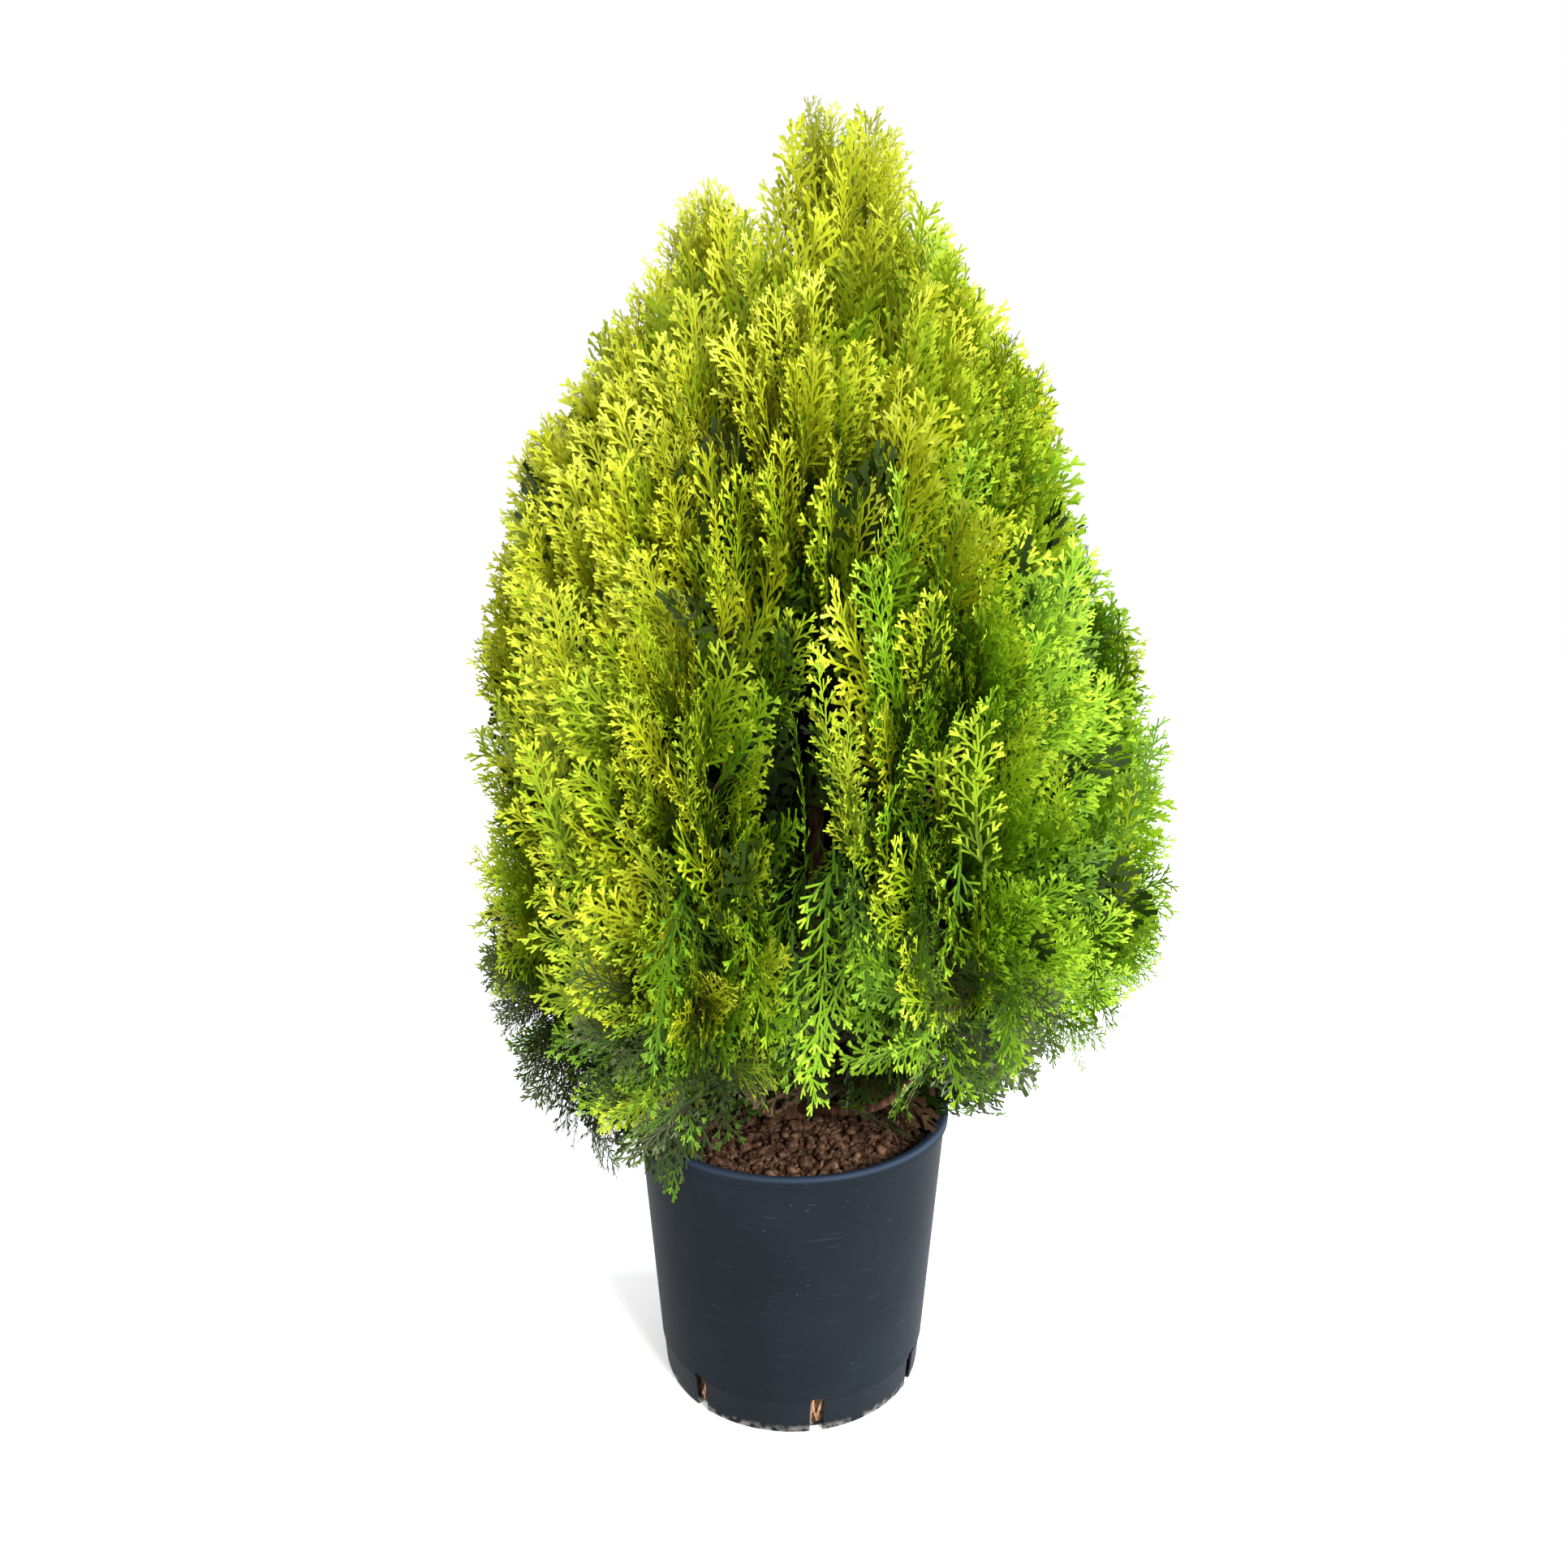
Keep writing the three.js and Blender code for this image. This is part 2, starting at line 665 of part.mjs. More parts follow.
const MATERIALS = {
  pot: new THREE.MeshStandardMaterial({ color: 0x2f3944, roughness: 0.5, metalness: 0 }),
  soil: new THREE.MeshStandardMaterial({ color: 0x4a3024, roughness: 1, metalness: 0 }),
  bark: new THREE.MeshStandardMaterial({ color: 0x5b4334, roughness: 0.95, metalness: 0 }),
  gold: new THREE.MeshStandardMaterial({ color: 0xb5b823, roughness: 0.7, metalness: 0 }),
  green: new THREE.MeshStandardMaterial({ color: 0x7ea51c, roughness: 0.7, metalness: 0 }),
};

const plant = new THREE.Group();

function add(name, geometry, material) {
  const mesh = new THREE.Mesh(geometry, material);
  mesh.name = name;
  plant.add(mesh);
}

add("pot", potGeometry(), MATERIALS.pot);
add("soil", soilGeometry(), MATERIALS.soil);
add("trunk", geometryOf(trunkSolid()), MATERIALS.bark);

const clearTrunk = trunkSolid(GAP);
const leftStart = new THREE.Vector3(...LEADERS.left.start, TRUNK.top);
const leftBough = boughParts(LEADERS.leftBough.from, leftStart, LEADERS.leftBough.radius, clearTrunk);

const masses = [
  ...TIERS.flatMap((tier, index) => tierMasses(tier, index, clearTrunk)),
  leaderMass("leader_right", LEADERS.right, TRUNK_CURVE, 901),
  { ...leaderMass("leader_left", LEADERS.left, leftBough.curve, 902), bough: leftBough },
];

for (const mass of masses) {
  if (mass.bough) add(`bough_${mass.name}`, geometryOf(mass.bough.solid), MATERIALS.bark);
  const golden = crownPlace(mass.stem.getPoint(1)).azimuth ** 2 > 2 || mass.name.startsWith("leader");
  add(`foliage_${mass.name}`, massGeometry(mass), golden ? MATERIALS.gold : MATERIALS.green);
}

export default plant;
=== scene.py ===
"""A golden oriental thuja in a nursery pot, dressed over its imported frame.

The crown grows by the rule of the solids: tiers of boughs carry one mass each, a mass grows
twigs from its stem to the crown's outline, and every twig carries flat fern-like sprays.
Plant sizes are in millimetres and become metres where a mesh is made.
"""

import math

import bpy
import numpy as np
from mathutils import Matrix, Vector


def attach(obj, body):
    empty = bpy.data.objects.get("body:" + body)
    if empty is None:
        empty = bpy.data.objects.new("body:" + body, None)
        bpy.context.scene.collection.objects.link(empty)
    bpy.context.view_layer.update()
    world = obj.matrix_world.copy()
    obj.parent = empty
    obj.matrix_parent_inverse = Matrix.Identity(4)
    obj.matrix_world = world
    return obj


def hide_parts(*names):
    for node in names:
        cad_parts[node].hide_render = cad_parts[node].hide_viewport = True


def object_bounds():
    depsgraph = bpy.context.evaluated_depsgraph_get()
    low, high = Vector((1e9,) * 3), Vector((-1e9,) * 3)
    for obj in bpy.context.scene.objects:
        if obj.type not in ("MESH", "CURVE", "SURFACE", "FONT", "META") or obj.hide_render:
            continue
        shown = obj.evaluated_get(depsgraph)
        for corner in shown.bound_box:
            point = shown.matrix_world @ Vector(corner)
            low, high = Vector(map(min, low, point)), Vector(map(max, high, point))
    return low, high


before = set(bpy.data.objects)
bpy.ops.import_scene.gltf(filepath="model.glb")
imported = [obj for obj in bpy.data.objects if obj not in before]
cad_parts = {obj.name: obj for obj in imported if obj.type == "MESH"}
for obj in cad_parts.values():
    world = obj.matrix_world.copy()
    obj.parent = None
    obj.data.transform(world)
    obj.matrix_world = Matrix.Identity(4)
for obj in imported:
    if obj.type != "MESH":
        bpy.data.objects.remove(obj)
CAD_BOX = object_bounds()

MM = 0.001
BODY = "root"
UP = np.array([0.0, 0.0, 1.0])

# ---- The crown's frame, as in the solids ----

POT = {
    "height": 210, "rim": 120, "base": 101, "wall": 2.4, "floor": 3, "lip": 8, "proud": 2,
    "foot": 25, "inset": 1,
    "lip_reach": 11,  # how far the rolled lip reaches inward
    "lip_round": 2.4,
}
SLOT = {"count": 7, "width": 10, "height": 29, "first": -80}
SOIL_LEVEL = 197
SOIL_MOUND = 4
SOIL_GAP = 0.4
CRUMBS = {"count": 2800, "sizes": [1.6, 2.5, 3.8, 6], "shares": [0.4, 0.36, 0.19, 0.05]}
ROOTS = {"on_soil": 26, "at_slot": 4}

TRUNK = {
    "foot": 15, "flare": 26, "radius": 9, "tip": 3, "top": 610,
    "path": [(0, 0), (7, -4), (14, -3), (17, 3), (17, 5), (20, 1), (23, -2)],
}

CROWN = {
    "low": 165, "widest": 385, "top": 915, "radius": 252,
    "shift": 21, "shift_up_to": 430, "straight_from": 690,
    "lean": 10, "lean_from": 690, "lean_up_to": 745,
}
DROOP = {"azimuth": 205, "strength": 0.21}
LIFT = {"azimuth": -60, "strength": 0.17, "earlier": 0.9}
SPLIT = {"x": 14, "half": 15, "bottom": 235, "low": 300, "full": 385, "high": 620}
SOIL_VIEW = {"x": 4, "half": 68, "level": 207, "slope": 0.46}
CONE_SLOPE = 0.8

TIERS = [
    {
        "name": "skirt", "count": 7, "turned": False, "cone": (30, 253), "inner": 60,
        "bough_from": (205, 233), "bough_radius": (5, 3.8),
        "stem_cone": (178, 158), "stem_lift": 60, "stem_reach": 0.72,
    },
    {
        "name": "middle", "count": 6, "turned": False, "cone": (253, 463), "inner": 52,
        "bough_from": (262, 300), "bough_radius": (5.5, 3.6),
        "stem_cone": (300, 370), "stem_lift": 0, "stem_reach": 0.72,
    },
    {
        "name": "upper", "count": 4, "turned": True, "cone": (463, 653), "inner": 42,
        "bough_from": (420, 480), "bough_radius": (4.4, 3),
        "stem_cone": (505, 575), "stem_lift": 0, "stem_reach": 0.66,
    },
]
LEADERS = {
    "split_x": -18,
    "shoulder": 850,
    "right": {
        "side": 1, "x": 41, "y": -4, "top": 915, "radius": 39, "blunt": 8, "from": 690, "start": (23, -2),
        "tufts": [(-33, 4), (-27, 0), (-20, 5), (-8, 14), (4, 17), (15, 12), (26, 3), (33, 1), (37, 7)],
    },
    "left": {
        "side": -1, "x": -53, "y": 6, "top": 869, "radius": 31, "blunt": 4, "from": 690, "start": (-22, 4),
        "tufts": [(-30, 24), (-22, 5), (-16, 0), (-8, 9), (2, 14), (10, 14), (18, 20)],
    },
}
NOTCH = {"half": 9, "low": 826, "full": 856}
LEFT_START = np.array([*LEADERS["left"]["start"], TRUNK["top"]], float)
LEFT_BOUGH_FROM = 480


def lerp(a, b, t):
    return a + (b - a) * t


def smoothstep(x, low, high):
    t = min(1.0, max(0.0, (x - low) / (high - low)))
    return t * t * (3 - 2 * t)


def unit(v):
    return v / max(1e-9, np.linalg.norm(v))


def level(turn):
    """The level direction at a turn about Z."""
    return np.array([math.cos(turn), math.sin(turn), 0])


def crown_axis_x(z):
    low = CROWN["shift"] * (1 - smoothstep(z, CROWN["shift_up_to"], CROWN["straight_from"]))
    return low + CROWN["lean"] * smoothstep(z, CROWN["lean_from"], CROWN["lean_up_to"])


def lift_at(azimuth):
    """How far the crown's underside is lifted on that side, from 0 to 1."""
    return max(0.0, math.cos(azimuth - math.radians(LIFT["azimuth"])))


def crown_radius(z, azimuth):
    """The crown's egg-shaped outline, hanging lower on one side and lifted at the front."""
    if z > CROWN["widest"]:
        rise = min(1.0, (z - CROWN["widest"]) / (CROWN["top"] - CROWN["widest"]))
        return CROWN["radius"] * (1 - rise**2.1) ** 0.8
    drop = min(1.0, (CROWN["widest"] - z) / (CROWN["widest"] - CROWN["low"]))
    droop = DROOP["strength"] * max(0.0, math.cos(azimuth - math.radians(DROOP["azimuth"]))) ** 3
    lift = lift_at(azimuth) ** 2
    shrunk = 0.62 - droop + LIFT["strength"] * lift
    return CROWN["radius"] * (1 - shrunk * drop ** (2.4 - LIFT["earlier"] * lift))


def crown_point(radius, azimuth, z):
    return np.array([crown_axis_x(z) + radius * math.cos(azimuth), radius * math.sin(azimuth), z])


def crown_place(point):
    """A point's radius, azimuth and cone height in the crown."""
    x = point[0] - crown_axis_x(point[2])
    radius = math.hypot(x, point[1])
    return radius, math.atan2(point[1], x), point[2] - CONE_SLOPE * radius


def on_cone(radius, azimuth, cone):
    return crown_point(radius, azimuth, cone + CONE_SLOPE * radius)


def outline_height(cone, azimuth):
    z = cone
    for _ in range(40):
        z = lerp(z, cone + CONE_SLOPE * crown_radius(z, azimuth), 0.4)
    return z


def leader_axis(leader, z):
    share = min(1.0, max(0.0, (z - TRUNK["top"]) / (leader["top"] - leader["from"])))
    start = leader["start"]
    return np.array([lerp(start[0], leader["x"], share), lerp(start[1], leader["y"], share), z])


def leader_radius(leader, z):
    share = min(1.0, max(0.0, (z - leader["from"]) / (leader["top"] - leader["from"])))
    return leader["radius"] * (1 - share ** leader["blunt"]) ** 0.5


def overhang(point):
    """How far a point stands out of the crown, or of a leader above its shoulders."""
    radius, azimuth, _ = crown_place(point)
    out = radius - crown_radius(point[2], azimuth)
    if point[2] < LEADERS["right"]["from"]:
        return out
    for leader in (LEADERS["right"], LEADERS["left"]):
        axis = leader_axis(leader, point[2])
        aside = math.hypot(point[0] - axis[0], point[1] - axis[1]) - leader_radius(leader, point[2])
        out = min(out, max(aside, point[2] - leader["top"]))
    notch = NOTCH["half"] * smoothstep(point[2], NOTCH["low"], NOTCH["full"])
    if notch > 0:
        out = max(out, notch - abs(point[0] - LEADERS["split_x"]))
    return out


def split_room(point):
    """How far a point stands from the front parting, which closes towards either end."""
    if point[1] > 0:
        return math.inf
    opened = 1 - smoothstep(point[2], SPLIT["full"], SPLIT["high"])
    opened *= smoothstep(point[2], SPLIT["bottom"], SPLIT["low"])
    return abs(point[0] - SPLIT["x"]) - SPLIT["half"] * opened


def hides_soil(point):
    """Whether a point hangs in front of the bare soil that shows at the foot of the plant."""
    if point[1] > 0 or abs(point[0] - SOIL_VIEW["x"]) > SOIL_VIEW["half"]:
        return False
    return point[2] < SOIL_VIEW["level"] - SOIL_VIEW["slope"] * point[1]


# ---- Curves and meshes ----


def bezier(points, t):
    a, b, c = points
    return (1 - t) ** 2 * a + 2 * t * (1 - t) * b + t * t * c


def bezier_tangent(points, t):
    a, b, c = points
    return unit(2 * (1 - t) * (b - a) + 2 * t * (c - b))


def smooth_path(points, steps):
    """Catmull-Rom points through the given ones."""
    given = np.array(points, float)
    padded = np.vstack([2 * given[0] - given[1], given, 2 * given[-1] - given[-2]])
    out = []
    for i in range(len(given) - 1):
        p0, p1, p2, p3 = padded[i : i + 4]
        for t in np.linspace(0, 1, steps, endpoint=False):
            a = 2 * p1 + (p2 - p0) * t
            b = (2 * p0 - 5 * p1 + 4 * p2 - p3) * t * t
            c = (3 * p1 - p0 - 3 * p2 + p3) * t**3
            out.append((a + b + c) / 2)
    out.append(given[-1])
    return np.array(out)


def tube(path, radii, sides, relief=None):
    """Vertices and quads of a tube along path. relief(turn, along) swells its radius."""
    path = np.asarray(path, float)
    tangents = np.gradient(path, axis=0)
    tangents /= np.linalg.norm(tangents, axis=1)[:, None]
    side = np.cross(tangents, [0.31, 0.93, 0.2])
    side /= np.linalg.norm(side, axis=1)[:, None]
    across = np.cross(tangents, side)
    turns = np.linspace(0, 2 * math.pi, sides, endpoint=False)
    radii = np.broadcast_to(np.asarray(radii, float), (len(path),))[:, None] * np.ones(sides)
    if relief is not None:
        along = np.cumsum(np.r_[0, np.linalg.norm(np.diff(path, axis=0), axis=1)])
        radii = radii * relief(turns[None, :], along[:, None])
    ring = side[:, None] * np.cos(turns)[None, :, None] + across[:, None] * np.sin(turns)[None, :, None]
    verts = (path[:, None] + ring * radii[:, :, None]).reshape(-1, 3)
    rows = np.arange(len(path) - 1)[:, None] * sides
    first = rows + np.arange(sides)[None, :]
    second = rows + (np.arange(sides)[None, :] + 1) % sides
    faces = np.stack([first, second, second + sides, first + sides], axis=2).reshape(-1, 4)
    return verts, faces


def join_parts(parts):
    """Joins (vertices, faces) pairs into one pair."""
    verts, faces, start = [], [], 0
    for v, f in parts:
        verts.append(v)
        faces.append(f + start)
        start += len(v)
    return np.vstack(verts), np.vstack(faces)


def add_piece(name, verts, faces, material, replaced=(), smooth=True):
    """Makes a mesh object from millimetre vertices, riding on the body."""
    mesh = bpy.data.meshes.new(name)
    mesh.from_pydata(np.asarray(verts) * MM, [], np.asarray(faces))
    mesh.validate()
    mesh.polygons.foreach_set("use_smooth", np.full(len(mesh.polygons), smooth))
    mesh.materials.append(material)
    piece = bpy.data.objects.new(name, mesh)
    bpy.context.scene.collection.objects.link(piece)
    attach(piece, BODY)
    if replaced:
        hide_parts(*replaced)
    return piece


# ---- Materials ----


def linear(r, g, b):
    """An sRGB colour from 0 to 255 as linear values."""
    return [((c / 255 + 0.055) / 1.055) ** 2.4 if c > 10 else c / 255 / 12.92 for c in (r, g, b)]


class Shading:
    """A material and the sockets that colour it."""

    def __init__(self, name, roughness, specular):
        self.material = bpy.data.materials.new(name)
        self.material.use_nodes = True
        self.nodes = self.material.node_tree.nodes
        self.links = self.material.node_tree.links
        self.shader = self.nodes["Principled BSDF"]
        self.set(self.shader, {"Roughness": roughness, "Specular IOR Level": specular})

    def set(self, node, values):
        for name, value in values.items():
            node.inputs[name].default_value = value

    def noise(self, scale, detail, stretch=(1, 1, 1)):
        """A noise in object space, stretched by axis."""
        place = self.nodes.new("ShaderNodeTexCoord")
        mapping = self.nodes.new("ShaderNodeMapping")
        self.set(mapping, {"Scale": stretch})
        noise = self.nodes.new("ShaderNodeTexNoise")
        self.set(noise, {"Scale": scale, "Detail": detail})
        self.links.new(place.outputs["Object"], mapping.inputs["Vector"])
        self.links.new(mapping.outputs["Vector"], noise.inputs["Vector"])
        return noise.outputs["Fac"]

    def ramp(self, source, stops):
        ramp = self.nodes.new("ShaderNodeValToRGB")
        elements = ramp.color_ramp.elements
        while len(elements) < len(stops):
            elements.new(0.5)
        for element, (at, colour) in zip(elements, stops):
            element.position = at
            element.color = (*colour, 1)
        self.links.new(source, ramp.inputs["Fac"])
        return ramp.outputs["Color"]

    def mask(self, source, low, high, strength):
        """Nothing below low, rising to strength at high."""
        return self.ramp(source, [(low, [0] * 3), (high, [strength] * 3)])

    def combine(self, operation, first, second):
        node = self.nodes.new("ShaderNodeMath")
        node.operation = operation
        self.links.new(first, node.inputs[0])
        self.links.new(second, node.inputs[1])
        return node.outputs["Value"]

    def mix(self, mask, under, colour):
        """Lays a colour over another where the mask is up."""
        node = self.nodes.new("ShaderNodeMixRGB")
        self.set(node, {"Color2": (*colour, 1)})
        self.links.new(mask, node.inputs["Fac"])
        self.links.new(under, node.inputs["Color1"])
        return node.outputs["Color"]

    def height(self, start, end):
        """A mask that rises from 0 at one height to 1 at the other, in millimetres."""
        place = self.nodes.new("ShaderNodeTexCoord")
        split = self.nodes.new("ShaderNodeSeparateXYZ")
        self.links.new(place.outputs["Object"], split.inputs["Vector"])
        span = self.nodes.new("ShaderNodeMapRange")
        self.set(span, {"From Min": start * MM, "From Max": end * MM})
        self.links.new(split.outputs["Z"], span.inputs["Value"])
        return span.outputs["Result"]

    def colour(self, source):
        self.links.new(source, self.shader.inputs["Base Color"])

    def bump(self, source, strength, depth):
        """Raises the surface by a source, depth in millimetres."""
        bump = self.nodes.new("ShaderNodeBump")
        self.set(bump, {"Strength": strength, "Distance": depth * MM})
        self.links.new(source, bump.inputs["Height"])
        self.links.new(bump.outputs["Normal"], self.shader.inputs["Normal"])


def foliage_material(name, colour, darker=0.82, lighter=1.16):
    """Scale leaves: one plain colour with a slight mottle."""
    shading = Shading(name, 0.55, 0.16)
    base = linear(*colour)
    stops = [(0.3, [c * darker for c in base]), (0.7, [min(1, c * lighter) for c in base])]
    shading.colour(shading.ramp(shading.noise(45, 2), stops))
    return shading.material


def bark_material():
    shading = Shading("thuja_bark", 0.9, 0.2)
    fibres = shading.noise(260, 5, (1, 1, 0.12))
    stops = [(0.3, linear(38, 24, 17)), (0.5, linear(78, 50, 35)), (0.72, linear(120, 86, 63))]
    shading.colour(shading.ramp(fibres, stops))
    shading.bump(fibres, 0.6, 1)
    return shading.material


def soil_material():
    shading = Shading("potting_mix", 0.95, 0.15)
    grain = shading.noise(170, 6)
    stops = [(0.32, linear(40, 26, 17)), (0.5, linear(80, 56, 40)), (0.68, linear(126, 98, 78))]
    shading.colour(shading.ramp(grain, stops))
    shading.bump(grain, 0.8, 1.5)
    return shading.material


def root_material():
    shading = Shading("pale_roots", 0.8, 0.2)
    stops = [(0.3, linear(120, 84, 60)), (0.7, linear(190, 150, 118))]
    shading.colour(shading.ramp(shading.noise(300, 2), stops))
    return shading.material


def pot_material():
    """Satin slate plastic with fine scratches, dust specks, a painted lip highlight and a scuffed foot."""
    shading = Shading("slate_plastic", 0.48, 0.07)
    shading.set(shading.shader, {"IOR": 1.3})
    stops = [(0.3, linear(20, 25, 30)), (0.7, linear(26, 32, 39))]
    plastic = shading.ramp(shading.noise(9, 3), stops)
    scratch = shading.noise(48, 5, (1, 1, 9))
    scratches = shading.mask(scratch, 0.62, 0.82, 0.12)
    specks = shading.mask(shading.noise(420, 1), 0.77, 0.81, 0.4)
    dust = shading.combine("MAXIMUM", scratches, specks)
    dusty = shading.mix(dust, plastic, linear(96, 104, 114))
    scuffs = shading.mask(shading.noise(150, 6), 0.46, 0.62, 1)
    scuffed_foot = shading.combine("MULTIPLY", shading.height(7, 0), scuffs)
    scuffed = shading.mix(scuffed_foot, dusty, linear(138, 134, 126))
    # Painted highlight: the top of the lip is mixed to a lighter blue-grey, standing in for light on its
    # edge.
    lip = shading.height(POT["height"] - 3.2, POT["height"] - 1)
    shading.colour(shading.mix(lip, scuffed, linear(46, 57, 73)))
    shading.bump(scratch, 0.12, 0.4)
    return shading.material


def floor_material():
    """A matt pale floor that gives off a little light, to stay as pale as the background."""
    shading = Shading("pale_floor", 0.9, 0.1)
    shading.colour(shading.ramp(shading.noise(3, 2), [(0.3, [0.96] * 3), (0.7, [0.98] * 3)]))
    shading.set(shading.shader, {"Emission Color": (1, 1, 1, 1), "Emission Strength": 0.25})
    return shading.material


# ---- Pot ----


def wall_radius(z):
    return lerp(POT["base"], POT["rim"] - POT["proud"], z / POT["height"])


def lathe(profile, sides):
    """Vertices and quads of a profile of (radius, z) turned round the Z axis."""
    profile = np.array(profile, float)
    turns = np.linspace(0, 2 * math.pi, sides, endpoint=False)
    x = profile[:, 0:1] * np.cos(turns)
    y = profile[:, 0:1] * np.sin(turns)
    z = profile[:, 1:2] * np.ones(sides)
    verts = np.stack([x, y, z], axis=2).reshape(-1, 3)
    rows = np.arange(len(profile) - 1)[:, None] * sides
    first = rows + np.arange(sides)[None, :]
    second = rows + (np.arange(sides)[None, :] + 1) % sides
    faces = np.stack([first, second, second + sides, first + sides], axis=2).reshape(-1, 4)
    return verts, faces


def arc(centre, radius, start, end, steps):
    """Points of an arc in (radius, z), by degrees."""
    angles = np.radians(np.linspace(start, end, steps))
    return [(centre[0] + radius * math.cos(a), centre[1] + radius * math.sin(a)) for a in angles]


def pot_profile():
    """(radius, z) up the pot's outside, over its rolled lip and down the inside."""
    height, rim, foot_top, wall = POT["height"], POT["rim"], POT["foot"], POT["wall"]
    foot = POT["base"] - POT["inset"]
    step = wall_radius(foot_top)
    lip_low = height - POT["lip"]
    under_lip = wall_radius(lip_low)
    inner_lip = rim - POT["lip_reach"]
    edge = POT["lip_round"]
    profile = [(0.5, 0), (foot - 1.5, 0), (foot - 0.4, 0.4), (foot, 1.5)]
    profile += [(step - POT["inset"], foot_top - 1.5), (step - 0.2, foot_top - 0.3)]
    profile += [(step + 0.1, foot_top + 0.8)]
    profile += [(wall_radius(z), z) for z in np.linspace(foot_top + 3, lip_low - 0.6, 12)]
    profile += [(under_lip + 0.4, lip_low - 0.1), (rim - 0.9, lip_low + 0.2), (rim - 0.3, lip_low + 0.8)]
    profile += arc((rim - edge, height - edge), edge, 0, 100, 7)
    profile += [(lerp(rim, inner_lip, 0.6), height - 1.2), (inner_lip + 1, height - 3)]
    profile += [(inner_lip, height - 4.5), (inner_lip + 0.6, height - 6.5)]
    profile += [(wall_radius(height - 12) - wall, height - 11)]
    profile += [(wall_radius(POT["floor"]) - wall, POT["floor"]), (0.5, POT["floor"])]
    return profile


def slot_angles():
    return [math.radians(SLOT["first"] + i * 360 / SLOT["count"]) for i in range(SLOT["count"])]


def cut_slots(piece):
    """Cuts the drain slots through the wall and the edge of the floor."""
    for angle in slot_angles():
        bpy.ops.mesh.primitive_cube_add(size=1)
        cutter = bpy.context.object
        cutter.scale = (14 * MM, SLOT["width"] * MM, SLOT["height"] * MM)
        cutter.location = (level(angle) * POT["base"] + UP * (0.5 * SLOT["height"] - 0.5)) * MM
        cutter.rotation_euler = (0, 0, angle)
        modifier = piece.modifiers.new("slot", "BOOLEAN")
        modifier.operation = "DIFFERENCE"
        modifier.object = cutter
        bpy.context.view_layer.objects.active = piece
        bpy.ops.object.modifier_apply(modifier=modifier.name)
        bpy.data.objects.remove(cutter)


def build_pot():
    verts, faces = lathe(pot_profile(), 160)
    pot = add_piece("nursery_pot", verts, faces, pot_material(), ["pot"], smooth=False)
    cut_slots(pot)
    pot.data.polygons.foreach_set("use_smooth", np.ones(len(pot.data.polygons), bool))
    pot.data.set_sharp_from_angle(angle=math.radians(35))


# ---- Soil ----


def crumb(rng, size):
    """A small lump: a cube-like ball with its corners pushed about."""
    base = np.array([(x, y, z) for x in (-1, 1) for y in (-1, 1) for z in (-1, 1)], float)
    caps = np.repeat(np.eye(3), 2, axis=0) * np.tile([1.5, -1.5], 3)[:, None]
    verts = np.vstack([base, caps]) * size / 2
    verts *= 1 + rng.normal(0, 0.16, (len(verts), 1))
    verts *= rng.uniform(0.7, 1.2, 3)
    turn = rng.uniform(0, 2 * math.pi)
    c, s = math.cos(turn), math.sin(turn)
    return verts @ np.array([[c, s, 0], [-s, c, 0], [0, 0, 1]])


# The four corners round each side of a crumb, in turn, with the side's own raised corner after.
CRUMB_SIDES = [(4, 6, 7, 5), (0, 1, 3, 2), (2, 3, 7, 6), (0, 4, 5, 1), (1, 5, 7, 3), (0, 2, 6, 4)]
CRUMB_FACES = np.array(
    [(side[i], side[(i + 1) % 4], 8 + k) for k, side in enumerate(CRUMB_SIDES) for i in range(4)]
)


def soil_height(radius, edge):
    return SOIL_LEVEL - SOIL_MOUND * (radius / edge) ** 2


def build_soil():
    rng = np.random.default_rng(11)
    material = soil_material()
    edge = wall_radius(SOIL_LEVEL) - POT["wall"] - 0.5
    rings = np.linspace(0.5, edge, 46)
    profile = [(r, soil_height(r, edge)) for r in rings[::-1]]
    bottom = POT["floor"] + SOIL_GAP
    heights = np.linspace(bottom, SOIL_LEVEL - 6, 30)
    behind_slots = [1 - smoothstep(z, SLOT["height"], SLOT["height"] + 12) for z in heights]
    set_back = [SOIL_GAP + 4 * share for share in behind_slots]
    side = [(wall_radius(z) - POT["wall"] - back, z) for z, back in zip(heights, set_back)]
    verts, faces = lathe([(0.5, bottom)] + side + profile, 120)
    on_top = verts[:, 2] > SOIL_LEVEL - SOIL_MOUND - 1
    lumps = sum(
        np.sin(verts[:, 0] * f + p) * np.cos(verts[:, 1] * f * 1.1 + q) * a
        for f, p, q, a in [(0.21, 1, 2, 1.3), (0.53, 3, 1, 0.9), (0.97, 2, 5, 0.7)]
    )
    verts[on_top, 2] += lumps[on_top] + rng.normal(0, 0.4, on_top.sum())
    add_piece("root_ball", verts, faces, material, ["soil"])
    build_crumbs(rng, edge, material)
    build_fine_roots(rng, edge)


def build_crumbs(rng, edge, material):
    parts = []
    for _ in range(CRUMBS["count"]):
        radius = edge * 0.97 * math.sqrt(rng.uniform(0.01, 1))
        turn = rng.uniform(0, 2 * math.pi)
        size = rng.choice(CRUMBS["sizes"], p=CRUMBS["shares"])
        at = level(turn) * radius + UP * (soil_height(radius, edge) + size * 0.25)
        parts.append((crumb(rng, size) + at, CRUMB_FACES))
    verts, faces = join_parts(parts)
    add_piece("soil_crumbs", verts, faces, material, ["soil"])


